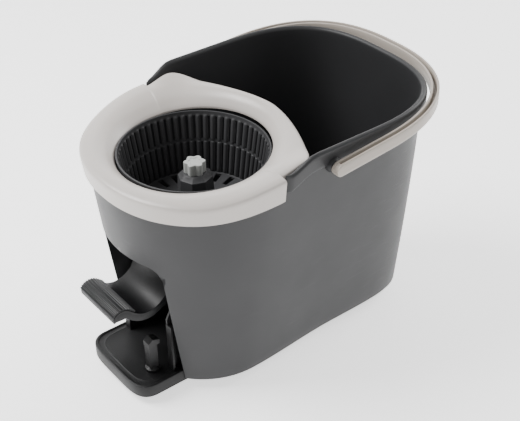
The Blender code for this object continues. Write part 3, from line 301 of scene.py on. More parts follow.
def tub_shell():
    """The shell as one grid: under the floor, round its edge, up the outside, over the rim, down the
    inside and in over the floor, without the faces in front of the recess."""
    ones = np.ones(COLUMNS)
    y_rim = half_plan(HEIGHT * ones, 0 * ones)[1]
    top = rim_height(y_rim)
    lip = LIP * smooth(y_rim, NOTCH_Y - 0.0002, NOTCH_Y + 0.007)
    shoulder = RECESS_TOP - RECESS_CORNER
    base = np.full(COLUMNS, shoulder)
    base[:RECESS_COLUMNS] = arch_height(RECESS_HALF * np.linspace(0, 1, RECESS_COLUMNS, endpoint=False))
    heights, grows = [], []

    def add(z, grow):
        heights.append(z * ones)
        grows.append(grow * ones)

    for t in np.linspace(0, math.pi / 2, 7):
        add(LIFT + OUTER_EDGE * (1 - math.cos(t)), -OUTER_EDGE * (1 - math.sin(t)))
    for t in np.linspace(0, 1, 14)[1:]:
        add(LIFT + OUTER_EDGE + (shoulder - LIFT - OUTER_EDGE) * t, 0)
    outer_shoulder = len(heights)
    for t in np.linspace(0, 1, 12)[1:]:
        add(base + (top - LIP_DROP - base) * t, 0)
    for t in np.linspace(0, math.pi / 2, 5)[1:]:
        add(top - LIP_DROP + LIP_STEP * (1 - math.cos(t)), lip * math.sin(t) ** 1.5)
    for t in np.linspace(0, 1, 7)[1:]:
        add(top - LIP_DROP + LIP_STEP + (LIP_DROP - LIP_STEP - ROLL) * t, lip)
    for t in np.linspace(0, math.pi, 15)[1:]:
        add(top - ROLL * (1 - np.sin(t)), (lip - WALL) / 2 + (lip + WALL) / 2 * math.cos(t))
    for t in np.linspace(0, 1, 20)[1:]:
        add(top - ROLL + (base - top + ROLL) * t, -WALL)
    inner_shoulder = len(heights) - 1
    for t in np.linspace(0, 1, 14)[1:]:
        add(shoulder + (LIFT + FLOOR_WALL + INNER_EDGE - shoulder) * t, -WALL)
    for t in np.linspace(0, math.pi / 2, 7)[1:]:
        add(LIFT + FLOOR_WALL + INNER_EDGE * (1 - math.sin(t)), -WALL - INNER_EDGE * (1 - math.cos(t)))
    heights, grows = np.array(heights), np.array(grows)
    level = np.arange(len(heights))
    heights[(level < outer_shoulder) | (level > inner_shoulder), :RECESS_COLUMNS] = base[:RECESS_COLUMNS]
    x, y = half_plan(heights, grows)
    floors = []
    for row, z in ((0, LIFT), (-1, LIFT + FLOOR_WALL)):
        edge = np.stack([x[row], y[row], np.full(COLUMNS, z)], -1)
        y_front = y[row, RECESS_COLUMNS]
        reach = RECESS_BACK - y_front
        path = np.linspace(0, 1, COLUMNS - RECESS_COLUMNS) * (reach + RECESS_HALF)
        goal = edge.copy()
        goal[RECESS_COLUMNS:, 0] = np.where(path < reach, RECESS_HALF, RECESS_HALF - (path - reach))
        goal[RECESS_COLUMNS:, 1] = np.where(path < reach, y_front + path, RECESS_BACK)
        floors.append(np.array([edge + (goal - edge) * t for t in np.linspace(0, 1, FLOOR_RINGS + 1)[1:]]))
    wall = np.stack([x, y, heights], -1)
    ring = mirrored(np.concatenate([floors[0][::-1], wall, floors[1]]))
    count = ring.shape[1]
    row, column = np.meshgrid(np.arange(len(ring) - 1), np.arange(count), indexing="ij")
    recess = (column < RECESS_COLUMNS) | (column >= count - RECESS_COLUMNS)
    open_rows = (row < FLOOR_RINGS + outer_shoulder - 1) | (row >= FLOOR_RINGS + inner_shoulder)
    points, faces = patch(ring, True, ~(recess & open_rows))
    a, b, c = points[faces[len(faces) // 4][:3]]
    if np.dot(np.cross(b - a, c - b)[:2], a[:2] - TUB_MIDDLE) < 0:
        faces = [face[::-1] for face in faces]
    return points, faces


def arch_points(grow, low):
    """The recess's outline from the right foot over the top to the left foot."""
    corner = RECESS_CORNER + grow
    turn = np.linspace(0, math.pi / 2, 15)
    side = np.stack([np.full(8, RECESS_HALF + grow), np.linspace(low, RECESS_TOP - RECESS_CORNER, 8)], -1)
    bend = np.stack([RECESS_HALF - RECESS_CORNER + corner * np.cos(turn),
                     RECESS_TOP - RECESS_CORNER + corner * np.sin(turn)], -1)
    flat = np.stack([np.linspace(RECESS_HALF - RECESS_CORNER, 0, 6), np.full(6, RECESS_TOP + grow)], -1)
    half = np.concatenate([side, bend[1:], flat[1:]])
    return np.concatenate([half, half[-2::-1] * np.array([-1, 1])])


def front_wall(x, z, grow):
    """y of the tub's front wall at x and z."""
    centre, half, depth, power = front_of(z, grow)
    return centre - depth * (1 - (abs(x) / half) ** power) ** (1 / power)


def tunnel(grow, skin, back, low, sign):
    """One side of the tunnel's wall: the arch drawn back to the end wall, and the end wall itself."""
    outline = arch_points(grow, low)
    x, z = outline.T
    start = front_wall(x, z, skin)
    sweep = np.stack([np.stack([x, start + (back - start) * t, z], -1) for t in np.linspace(0, 1, 14)])
    middle = np.stack([np.zeros_like(x), np.full_like(x, back), np.minimum(z, RECESS_TOP - 0.04)], -1)
    end = np.stack([sweep[-1] + (middle - sweep[-1]) * t for t in np.linspace(0, 1, 8)])
    return [patch(sweep, away=(0, 0, 0.1, sign)), patch(end, away=(0, 0, 0.1, sign))]


def turned(profile, centre, axis="Z", steps=48, closed=False, away=None):
    """A turned surface: (radius, height) points spun about an axis through the centre."""
    turn = np.linspace(0, 2 * math.pi, steps, endpoint=False)
    profile = np.array(profile + profile[:1] if closed else profile)
    r, h = profile[:, :1], profile[:, 1:] * np.ones(steps)
    ring = np.stack([r * np.cos(turn), r * np.sin(turn), h], -1)
    if axis == "X":
        ring = ring[..., [2, 0, 1]]
    return patch(ring + np.array(centre), True, away=away)


PIVOT_Y, PIVOT_Z = 0.095, 0.3085
BOSS_LINE = [(0.0105, 0.1495), (0.0100, 0.1540), (0.0085, 0.1572), (0.0080, 0.1578), (0.0, 0.1578)]
BEARING_LINE = [(0.014, 0.190), (0.014, 0.202), (0.013, 0.203), (0.0093, 0.203), (0.0093, 0.190)]
bosses = [turned([(radius, s * x) for radius, x in BOSS_LINE], (0, PIVOT_Y, PIVOT_Z), "X", 40,
                 away=(s * 0.12, PIVOT_Y, PIVOT_Z, 1)) for s in (-1, 1)]
bearing = turned(BEARING_LINE, (0, 0, 0), away=(0, 0, 0.19, 1))
tunnels = tunnel(0, 0, RECESS_BACK, LIFT, -1) + tunnel(WALL, -WALL / 2, RECESS_BACK + WALL, LIFT + 0.001, 1)
tub_grey = plastic("tub_plastic", (0.027, 0.0272, 0.0285), (0.024, 0.0242, 0.0255), 0.44, 0.18,
                   specular=0.28)
tub = shape("tub_visual", [tub_shell()] + tunnels + bosses + [bearing], tub_grey, 40)
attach(tub, "tub")
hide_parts("bucket")


# ---------------------------------------------------------------- collar
# The light splash collar snaps over the tub's front rim: a funnel round the basket's mouth, a rolled
# outer edge with a skirt, and two wings that rise inside the tub's rim towards the rinsing side.

OPENING_R, COLLAR_TOP, SKIRT, THICK, OVERHANG = 0.098, 0.301, 0.0225, 0.0026, 0.0060
COLLAR_END = NOTCH_Y - 0.0025                 # the skirt ends just before the notch
COLLAR_BACK, WING_SWEEP, WING_REACH = 0.125, 0.059, 0.150
WING_RISE, WING_X, WING_Y, WING_POWER = 0.009, (0.104, 0.146), (0.018, 0.062), 14
RIM_GAP, EDGE_DROP = 0.0012, 0.006            # between the wings and the tub, and how low it is measured
MOUTH_TILT, MOUTH_LIFT = 0.060, 0.006


def wing(x, y):
    """How far the collar has climbed at x, y."""
    return climb(y) + WING_RISE * smooth(abs(x), *WING_X) * smooth(y, *WING_Y)


def collar_edge(turn):
    """Distance from the axis to the collar's outer edge along each direction, by halving: over the
    tub's rim in front, and (across ** n + back ** n < 1) inside the tub behind the notch."""
    low, high = np.full_like(turn, OPENING_R), np.full_like(turn, 0.2)
    for _ in range(30):
        reach = (low + high) / 2
        x, y = abs(np.sin(turn) * reach), -np.cos(turn) * reach
        outside_tub = x < half_width(y, np.full_like(y, COLLAR_TOP), OVERHANG)
        wall = half_width(y, COLLAR_TOP + wing(x, y) - EDGE_DROP, -WALL - RIM_GAP)
        across = x / wall.clip(0.03)
        back = y.clip(0) / (COLLAR_BACK - WING_SWEEP * (x / WING_REACH) ** 1.6).clip(0.03)
        inside_tub = across ** WING_POWER + back ** WING_POWER < 1
        covered = np.where(y < COLLAR_END, outside_tub, inside_tub)
        low, high = np.where(covered, reach, low), np.where(covered, high, reach)
    return low


def flowing(points, steps):
    """A smooth line through the points (Catmull-Rom), each span cut into steps."""
    p = np.array(points, float)
    p = np.concatenate([2 * p[:1] - p[1:2], p, 2 * p[-1:] - p[-2:-1]])
    t = np.linspace(0, 1, steps, endpoint=False)[:, None]
    spans = [0.5 * (2 * b + (c - a) * t + (2 * a - 5 * b + 4 * c - d) * t ** 2
                    + (3 * b - a - 3 * c + d) * t ** 3) for a, b, c, d in zip(p, p[1:], p[2:], p[3:])]
    return np.concatenate(spans + [p[-2:-1]])


TAPER, EDGE_Z, INNER_Z = 0.0022, -0.0035, -0.0045     # the skirt's draft, and its start outside and inside
CORNER_COLUMNS = np.array([-0.004, -0.0015, -0.0006, 0.0006, 0.012, 0.02])
MOUTH_LINE = [(0, -0.0140), (0, -0.0125), (0.012, -0.0108), (0.09, -0.0068), (0.29, 0.0002), (0.56, 0.0045),
              (0.82, 0.0040), (0.95, 0.0018), (0.99, -0.0006), (1, EDGE_Z)]
SPREAD = 9                                    # columns on each side that ease the step at the notch


def collar_grid():
    """The collar as a closed band round the mouth. Each ring is a share of the way from the mouth to
    the edge, an offset outwards, a height, and how far down the skirt it lies."""
    end_x = half_width(np.array([COLLAR_END]), np.array([COLLAR_TOP]), OVERHANG)[0]
    corner = math.atan2(COLLAR_END, end_x) + math.pi / 2
    turn, extra = np.linspace(0, 2 * math.pi, 320, endpoint=False), corner + CORNER_COLUMNS
    turn = np.sort(np.concatenate([turn, extra, 2 * math.pi - extra]))
    x, y = np.sin(turn), -np.cos(turn)
    reach = collar_edge(turn)
    weights = np.hanning(2 * SPREAD + 3)[1:-1]
    looped = np.concatenate([reach[-SPREAD:], reach, reach[:SPREAD]])
    soft_reach = np.convolve(looped, weights / weights.sum(), "valid")
    outside = abs(np.remainder(turn + math.pi, 2 * math.pi) - math.pi) < corner - 0.001
    top, skirt = flowing(MOUTH_LINE, 5), np.linspace(0, 1, 8)[1:]
    rings = [(share, 0, rise, 0) for share, rise in top]
    rings += [(1, -TAPER * t, EDGE_Z, t) for t in skirt]
    rings += [(1, -TAPER - THICK * t, EDGE_Z - 0.0006 * math.sin(math.pi * t), 1)
              for t in np.linspace(0, 1, 5)[1:]]
    rings += [(1, -TAPER * t - THICK, INNER_Z, t) for t in skirt[::-1][1:]]
    rings += [(share, THICK * (1 - share), rise - THICK, 0) for share, rise in top[::-1][6:-2:2]]
    rings.append((0, THICK, MOUTH_LINE[0][1], 0))
    grid = []
    for share, out, rise, down in rings:
        edge = soft_reach + (reach - soft_reach) * smooth(share, 0.72, 0.99)
        r = OPENING_R + (edge - OPENING_R) * share + out
        px, py = x * r, y * r
        lift = share * wing(px, py) + (1 - share) * (MOUTH_TILT * py + MOUTH_LIFT)
        low = np.where(outside, -SKIRT - 0.5 * climb(y * reach) - EDGE_Z, INNER_Z)
        grid.append(np.stack([px, py, COLLAR_TOP + rise + lift + down * low], -1))
    return np.array(grid + grid[:1])


collar_material = plastic("collar_plastic", (0.50, 0.465, 0.435), (0.48, 0.445, 0.415), 0.36, 0.10, 0.05)
collar = shape("collar_visual", [patch(collar_grid(), True)], collar_material, 50, closed=True)
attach(collar, "tub")
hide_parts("collar")


# ---------------------------------------------------------------- spin basket
# A moulded basket with two tiers of upright slots between rounded ribs, a plain band between them
# and above, a floor with drain slots and a faceted hub that takes the spindle.

BASKET_TOP, BASKET_FLOOR, TOP_R, FLOOR_R, RIBS = 0.2945, 0.2065, 0.097, 0.084, 60
UPPER, LOWER = (0.2885, 0.2565), (0.2525, 0.2110)     # top and bottom of the two tiers of slots
SLOT_SHARE, RIB_BULGE, THROUGH, BLEND = 0.36, 0.0017, 0.0024, 0.0006
PER_RIB, SLOT_COLUMNS = 12, 4
UPPER_ROWS, LOWER_ROWS = slice(6, 20), slice(25, 39)  # the wall's rows that lie on each tier


def basket_wall():
    """The wall's two faces: ribs bulge in as half sines, slots are left out between them and closed
    by their side walls, and a ring closes the top."""
    columns = RIBS * PER_RIB
    turn = np.arange(columns) * 2 * math.pi / columns
    heights = np.concatenate([np.linspace(BASKET_TOP, UPPER[0] + BLEND, 6), np.linspace(*UPPER, 14),
                              np.linspace(UPPER[1] - BLEND, LOWER[0] + BLEND, 5), np.linspace(*LOWER, 14),
                              np.linspace(LOWER[1] - BLEND, BASKET_FLOOR, 5)])
    phase = (np.arange(columns) % PER_RIB + 0.5) / PER_RIB
    middle = (heights[:-1] + heights[1:]) / 2
    tier = ((middle > UPPER[1]) & (middle < UPPER[0])) | ((middle > LOWER[1]) & (middle < LOWER[0]))
    keep = ~((phase < SLOT_SHARE)[None, :] & tier[:, None])
    z = heights[:, None]
    band = smooth(z, LOWER[0], LOWER[0] + BLEND) * (1 - smooth(z, UPPER[1] - BLEND, UPPER[1]))
    rise = smooth(z, LOWER[1] - 0.0020, LOWER[1] + 0.0020) * (1 - smooth(z, UPPER[0], UPPER[0] + 0.0020))
    across = ((phase - SLOT_SHARE) / (1 - SLOT_SHARE)).clip(0, 1)
    bulge = RIB_BULGE * np.sin(math.pi * across)[None, :] * rise * (1 - 0.65 * band)
    radius = FLOOR_R + (TOP_R - FLOOR_R) * (z - BASKET_FLOOR) / (BASKET_TOP - BASKET_FLOOR)
    inner = radius - THROUGH - bulge
    outer = np.broadcast_to(radius - 0.0001, inner.shape)

    def around(r, height):
        return np.stack([r * np.cos(turn), r * np.sin(turn), height * np.ones_like(turn)], -1)

    sheets = [patch(around(r, z), True, keep, (0, 0, 0.25, sign)) for r, sign in ((inner, -1), (outer, 1))]
    edges = []
    for column in (0, SLOT_COLUMNS):
        for rows in (UPPER_ROWS, LOWER_ROWS):
            for c in np.arange(RIBS) * PER_RIB + column:
                edges.append(np.stack([around(r, z)[rows, c] for r in (inner, outer)], 1))
    edges = np.array(edges)
    count = edges.shape[1]
    row = np.arange(count - 1)
    one = np.stack([2 * row, 2 * row + 1, 2 * row + 3, 2 * row + 2], -1)
    faces = (one[None] + 2 * count * np.arange(len(edges))[:, None, None]).reshape(-1, 4)
    crown = [around(inner[0], BASKET_TOP), around((inner[0] + outer[0]) / 2, BASKET_TOP + 0.0005),
             around(outer[0], BASKET_TOP)]
    return sheets + [(edges.reshape(-1, 3), faces.tolist()),
                     patch(np.array(crown), True, away=(0, 0, 0.25, 1))]


DRAINS, PER_DRAIN, DRAIN_COLUMNS, DRAIN_RING = 24, 10, 4, (0.060, 0.0785)
FLOOR_THICK, FACETS = 0.0022, 8
FLOOR_LINE = [(0.0822, 0.2100), (0.0790, 0.2093), (0.0620, 0.2092), (0.0560, 0.2093), (0.0420, 0.2098),
              (0.0345, 0.2108), (0.0290, 0.2140), (0.0255, 0.2190), (0.0243, 0.2250), (0.0226, 0.2540),
              (0.0215, 0.2563), (0.0155, 0.2612), (0.0135, 0.2620), (0.0053, 0.2620)]


def basket_floor():
    """Floor with radial drain slots, rising into the hub: a cone of eight faces with a flat top. A flat
    face is the radius times cos(half) / cos(turn - middle)."""
    turn = np.arange(DRAINS * PER_DRAIN) * 2 * math.pi / (DRAINS * PER_DRAIN)
    profile = flowing(FLOOR_LINE, 4)
    r, z = profile[:, :1], profile[:, 1:]
    half = math.pi / FACETS
    facet = np.cos(half) / np.cos(np.remainder(turn, 2 * half) - half)
    faceted = smooth(z, 0.2165, 0.2230) * (1 - smooth(z, 0.2590, 0.2615))
    radius = r * (1 + (facet - 1) * faceted * 0.9)
    grid = np.stack([radius * np.cos(turn), radius * np.sin(turn), z * np.ones_like(turn)], -1)
    phase = np.arange(DRAINS * PER_DRAIN) % PER_DRAIN
    middle = (r[:-1, 0] + r[1:, 0]) / 2
    drained = (middle > DRAIN_RING[0]) & (middle < DRAIN_RING[1])
    keep = ~(drained[:, None] & (phase < DRAIN_COLUMNS)[None, :])
    under = grid - np.array([0, 0, FLOOR_THICK])
    return [patch(grid, True, keep, (0, 0, 0.19, 1)), patch(under, True, keep, (0, 0, 0.26, 1))]


basket_material = plastic("basket_plastic", (0.046, 0.046, 0.048), (0.039, 0.039, 0.041), 0.52, 0.10,
                          specular=0.22)
basket = shape("basket_visual", basket_wall() + basket_floor(), basket_material, 40)
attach(basket, "spinner")
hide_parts("spin_basket")


# ---------------------------------------------------------------- drive star
# The mop head's key drops over this lighter six-lobed block, pressed on the spindle's tip.
# Its light grey is a painted reflection: it stands in for the studio light that a flat glossy top gives back.

LOBES, STAR_VALLEY_R, LOBE_HEIGHT = 6, 0.0108, 0.0032


def star_patches():
    """A prism with six lobes, radius = valley + height * (0.5 + 0.5 cos(6 turn)) ** 0.8, a small chamfer
    and a dished top."""
    steps = 120
    turn = np.arange(steps) * 2 * math.pi / steps
    wave = 0.5 + 0.5 * np.cos(LOBES * turn)
    lobed = STAR_VALLEY_R + LOBE_HEIGHT * wave ** 0.8
    low, high = STAR_LOW[2], STAR_HIGH[2]
    rows = [(1, low), (1, high - 0.0012), (0.985, high - 0.0005), (0.945, high - 0.0001), (0.90, high),
            (0.62, high), (0.58, high - 0.0006), (0.30, high - 0.0009), (0.0, high - 0.0009)]
    grid = np.stack([np.stack([lobed * s * np.cos(turn), lobed * s * np.sin(turn), np.full(steps, z)], -1)
                     for s, z in rows])
    return [patch(grid, True, away=(0, 0, low, 1))]


# Light grey over the whole block: a painted reflection of the studio light on the star's glossy top.
star_painted_reflection = plastic("star_painted_reflection_plastic", (0.36, 0.37, 0.355), (0.33, 0.34, 0.325), 0.38, 0.1)
star = shape("star_visual", star_patches(), star_painted_reflection, 35)
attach(star, "spinner")
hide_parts("drive_star")


# ---------------------------------------------------------------- bail
# The carrying bail is a light moulded channel, open upwards, that lies round the back of the rim
# and swings up on two pegs through its rounded ends.

BAIL_OUT, BAIL_BACK, BAIL_THICK, BAIL_TALL, BAIL_TILT = 0.1699, 0.3359, 0.0113, 0.0168, 0.090
BAIL_CENTRE_Y, BAIL_POWER, FLANGE, SOFT, GROOVE = 0.165, 0.8, 0.0033, 0.0010, 0.0088


def bail_grid():
    """The channel's section carried along the bail's centre line, drawn in to round ends."""
    half, back = BAIL_OUT - BAIL_THICK / 2, BAIL_BACK - BAIL_THICK / 2 - BAIL_CENTRE_Y
    turn = np.linspace(0, math.pi / 2, 72)
    arc = np.stack([half * np.cos(turn) ** BAIL_POWER, BAIL_CENTRE_Y + back * np.sin(turn) ** BAIL_POWER], -1)
    end = PIVOT_Y - BAIL_TALL / 2
    begin = end + BAIL_TALL / 2 * (1 - np.cos(np.linspace(0.02, math.pi / 2, 16)))
    arm = np.linspace(begin[-1], arc[0, 1], 14)[1:-1]
    right = np.concatenate([np.stack([np.full(28, half), np.concatenate([begin, arm])], -1), arc])
    right[-1, 0] = 0
    path = np.concatenate([right, right[-2::-1] * np.array([-1, 1])])
    along = np.gradient(path, axis=0)
    along /= np.linalg.norm(along, axis=1, keepdims=True)
    out = np.stack([along[:, 1], -along[:, 0]], -1)
    reach = np.minimum(path[:, 1] - end, BAIL_TALL / 2)
    tall = np.sqrt(np.maximum((BAIL_TALL / 2) ** 2 - (BAIL_TALL / 2 - reach) ** 2, 1e-9))
    open_up = smooth(path[:, 1], PIVOT_Y + 0.001, PIVOT_Y + 0.007)
    wide, flange = BAIL_THICK / 2, BAIL_THICK / 2 - FLANGE
    section = [(0, -1, 0), (wide - 0.0020, -1, 0), (wide - 0.0006, -0.93, 0), (wide, -0.80, 0),
               (wide, -0.3, 0), (wide, 0.3, 0), (wide, 0.88, 0), (wide - 0.0004, 0.97, 0),
               (wide - SOFT, 1, 0), (flange + SOFT, 1, 0), (flange + 0.0003, 0.97, 0), (flange, 0.90, 0),
               (flange, 0.85, 0.5), (flange - 0.0002, 0.85, 0.93), (flange - 0.0012, 0.85, 1.0),
               (0, 0.85, 1.0)]
    section += [(-o, h, g) for o, h, g in section[-2:0:-1]]
    grid = []
    for offset, height, groove in section:
        depth = groove * np.minimum(GROOVE, 1.6 * tall) * open_up
        z = PIVOT_Z + (path[:, 1] - PIVOT_Y) * BAIL_TILT + tall * height - depth
        grid.append(np.stack([path[:, 0] + out[:, 0] * offset, path[:, 1] + out[:, 1] * offset, z], -1))
    return np.array(grid + grid[:1])


bail_material = plastic("bail_plastic", (0.37, 0.33, 0.29), (0.35, 0.31, 0.27), 0.38, 0.12)
bail = shape("bail_visual", [patch(bail_grid())], bail_material, 38, closed=True)
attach(bail, "bail_body")
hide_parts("bail")


# ---------------------------------------------------------------- pedal
# The treadle is one black glass-filled moulding: a tread at the front, a dished web that climbs to the
# axle, deep side arms, and stiffening ribs underneath. A ribbed pad is moulded over the tread.

AXLE = (-0.040, 0.140)
PEDAL_HALF, WEB, ARM, ARM_DEPTH, RIB_DEPTH, RIB_HALF = 0.0399, 0.003, 0.003, 0.011, 0.0085, 0.0009
HUB_OUT, TUBE_R, BORE_R, FOOT_Z, CLEAR = 0.012, 0.0085, 0.0044, 0.1225, 0.0005
TREAD_LINE = [(-0.1575, 0.1215), (-0.1575, 0.1280), (-0.1530, 0.1330), (-0.1465, 0.1355), (-0.1395, 0.1345),
              (-0.1330, 0.1300), (-0.1270, 0.1245), (-0.1200, 0.1195), (-0.1110, 0.1165), (-0.1010, 0.1170),
              (-0.0920, 0.1205), (-0.0840, 0.1270), (-0.0775, 0.1360), (-0.0725, 0.1470), (-0.0690, 0.1590),
              (-0.0665, 0.1700)]


def beside(line, distance):
    """The line moved to its right-hand side."""
    step = np.gradient(line, axis=0)
    step /= np.linalg.norm(step, axis=1, keepdims=True)
    return line + np.stack([step[:, 1], -step[:, 0]], -1) * distance


def slab(outline, low, high, soft):
    """A plate between two x, its outline in (y, z), with rounded edges of radius soft."""
    outline = np.array(outline)
    ahead, behind = np.roll(outline, -1, 0), np.roll(outline, 1, 0)
    a = (ahead - outline) / np.linalg.norm(ahead - outline, axis=1, keepdims=True).clip(1e-9)
    b = (outline - behind) / np.linalg.norm(outline - behind, axis=1, keepdims=True).clip(1e-9)
    along = a + b
    along /= np.linalg.norm(along, axis=1, keepdims=True).clip(1e-9)
    area = (outline[:, 0] * ahead[:, 1] - ahead[:, 0] * outline[:, 1]).sum()
    out = np.stack([along[:, 1], -along[:, 0]], -1) * np.sign(area)
    rings = []
    for x, inset in ((low, soft), (low + soft * 0.3, soft * 0.3), (low + soft, 0), (high - soft, 0),
                     (high - soft * 0.3, soft * 0.3), (high, soft)):
        moved = outline - out * inset
        rings.append(np.column_stack([np.full(len(moved), x), moved]))
    points, faces = patch(np.array(rings), True)
    count = len(outline)
    return points, faces + [list(range(count))[::-1], list(range(5 * count, 6 * count))]


def pedal_patches():
    """Web, side arms, hub tube and the ribs under the tread."""
    line = flowing(TREAD_LINE, 6)
    under = beside(line, WEB)
    parts = [slab(np.concatenate([line, under[::-1]]), -PEDAL_HALF, PEDAL_HALF, 0.0008)]
    turn = np.radians(np.arange(-110, 111, 10))
    hub = np.array(AXLE) + HUB_OUT * np.stack([np.cos(turn), np.sin(turn)], -1)
    inside = beside(line, WEB / 2)
    deep = beside(line, ARM_DEPTH)[30:54][::-1]
    arm = np.concatenate([[[inside[6, 0], FOOT_Z]], inside[6:84], hub[::-1], deep])
    for side in (-1, 1):
        a, b = sorted((side * (PEDAL_HALF - 0.0001), side * (PEDAL_HALF - ARM)))
        parts.append(slab(arm, a, b, 0.0005))
    end = PEDAL_HALF - CLEAR
    parts.append(turned([(TUBE_R, -end), (TUBE_R, end), (BORE_R, end), (BORE_R, -end)], (0, *AXLE), "X", 32,
                        closed=True))
    low = beside(line, RIB_DEPTH)
    for x in np.linspace(-0.030, 0.030, 7):
        rib = np.concatenate([inside[8:52], low[14:50][::-1]])
        parts.append(slab(rib, x - RIB_HALF, x + RIB_HALF, 0.0002))
    return parts


pedal_black = plastic("pedal_plastic", (0.0060, 0.0060, 0.0065), (0.0050, 0.0050, 0.0055), 0.46, 0.20,
                      specular=0.28)
pedal = shape("pedal_visual", pedal_patches(), pedal_black, 38, closed=True)
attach(pedal, "treadle")
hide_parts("pedal")


# ---------------------------------------------------------------- tread pad
# Soft pad over the tread with eleven raised bars across it.

BARS, PAD_REST, PAD_RISE, BAR_RISE = 11, 0.0004, 0.0017, 0.0006


def pad_outline():
    """The pad's section: the tread's line, and above it bars as a clipped sine along the line."""
    line = flowing(TREAD_LINE[1:7], 24)
    length = np.concatenate([[0], np.cumsum(np.linalg.norm(np.diff(line, axis=0), axis=1))])
    bars = np.clip(1.6 * np.sin(2 * math.pi * BARS * length / length[-1] - math.pi / 2), -1, 1)
    ends = smooth(length, 0, 0.001) * (1 - smooth(length, length[-1] - 0.001, length[-1]))
    rise = PAD_REST + (PAD_RISE + BAR_RISE * bars) * ends
    raised = line - (beside(line, 1) - line) * rise[:, None]
    return np.concatenate([raised, beside(line, -0.0003)[::-1]])


pad_half = PEDAL_HALF - 0.0004
tread_rubber = plastic("tread_rubber", (0.008, 0.008, 0.009), (0.006, 0.006, 0.007), 0.46, 0.3, specular=0.40)
pad = shape("tread_visual", [slab(pad_outline(), -pad_half, pad_half, 0.0004)], tread_rubber, 30, closed=True)
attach(pad, "treadle")
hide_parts("tread_pad")


# ---------------------------------------------------------------- base plate
# The foot plate that carries the drive unit: a shallow black tray with a raised border, skirted down
# to the floor and screwed up under the housing.

PLATE_LOW, PLATE_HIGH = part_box("base_plate")
SHOULDER = 0.030              # length of the round front corners


def plate_ring(inset, z):
    """The plate's outline, inset, at height z: straight sides, round corners and a bowed front."""
    half, back = PLATE_HIGH[0] - inset, PLATE_HIGH[1] - AXIS_Y - inset
    front = -(PLATE_LOW[1] - AXIS_Y) - inset
    shoulder = front - SHOULDER
    turn = np.linspace(0, math.pi / 2, 40)
    bow = np.stack([half * np.cos(turn).clip(0, 1) ** 0.42,
                    -shoulder - (front - shoulder) * np.sin(turn) ** 0.75], -1)
    side = np.stack([np.full(12, half), np.linspace(back, -shoulder, 12)], -1)
    rear = np.stack([np.linspace(0, half, 8), np.full(8, back)], -1)
    right = np.concatenate([rear[:-1], side[:-1], bow])
    ring = np.concatenate([right, right[-2:0:-1] * np.array([-1, 1])])
    return np.column_stack([ring, np.full(len(ring), z)])


def plate_patches():
    """Rings from under the skirt over the border into the tray, closed across the middle."""
    top = PLATE_HIGH[2]
    skirt = [(0.0030, 0.0128), (0.0030, 0.0003), (0.0024, 0.0), (0.0006, 0.0), (0.0, 0.0006), (0.0, 0.006)]
    border = [(0.0, 0.0018), (0.0005, 0.0005), (0.0016, 0), (0.0030, 0), (0.0036, 0.0004), (0.0038, 0.0012)]
    tray = [(0.0044, 0.0015), (0.0095, 0.0015), (0.0100, 0.0013), (0.0106, 0.0011), (0.0112, 0.0013),
            (0.0118, 0.0015), (0.030, 0.0015), (0.045, 0.0015)]
    levels = skirt + [(inset, top - drop) for inset, drop in border + tray]
    grid = np.array([plate_ring(inset, z) for inset, z in levels])
    points, faces = patch(grid, True)
    count = grid.shape[1]
    return [(points, faces + [list(range(count)), list(range(len(points) - count, len(points)))])]


plate_black = plastic("plate_plastic", (0.0065, 0.0065, 0.0070), (0.0055, 0.0055, 0.0060), 0.48, 0.35,
                      specular=0.30)
plate = shape("plate_visual", plate_patches(), plate_black, 35, closed=True)
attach(plate, "tub")
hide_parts("base_plate")


# ---------------------------------------------------------------- pieces taken over from the CAD
# Housing sides, bridge, post, gears, clutch rollers and washer, shafts, bushes, screws, clips, spring,
# pegs and feet keep their CAD shapes and get their real finishes.

def metal(name, colour, roughness, stretch):
    """A turned or drawn metal: brushed streaks in the roughness and a faint scratch bump."""
    made = bpy.data.materials.new(name)
    made.use_nodes = True
    nodes, links = made.node_tree.nodes, made.node_tree.links
    shader = nodes["Principled BSDF"]
    place = nodes.new("ShaderNodeTexCoord").outputs["Object"]
    streak = noise(nodes, links, place, 60, 4, stretch)
    tint = nodes.new("ShaderNodeMix")
    tint.data_type = "RGBA"
    tint.inputs["A"].default_value = (*colour, 1)
    tint.inputs["B"].default_value = (*(0.8 * c for c in colour), 1)
    links.new(streak, tint.inputs["Factor"])
    links.new(tint.outputs["Result"], shader.inputs["Base Color"])
    rough = remap(nodes, links, streak, 0.3, 0.7, roughness - 0.07, roughness + 0.09)
    links.new(rough, shader.inputs["Roughness"])
    bump = nodes.new("ShaderNodeBump")
    bump.inputs["Strength"].default_value = 0.08
    bump.inputs["Distance"].default_value = 0.0004
    links.new(streak, bump.inputs["Height"])
    links.new(bump.outputs["Normal"], shader.inputs["Normal"])
    shader.inputs["Metallic"].default_value = 1.0
    return made


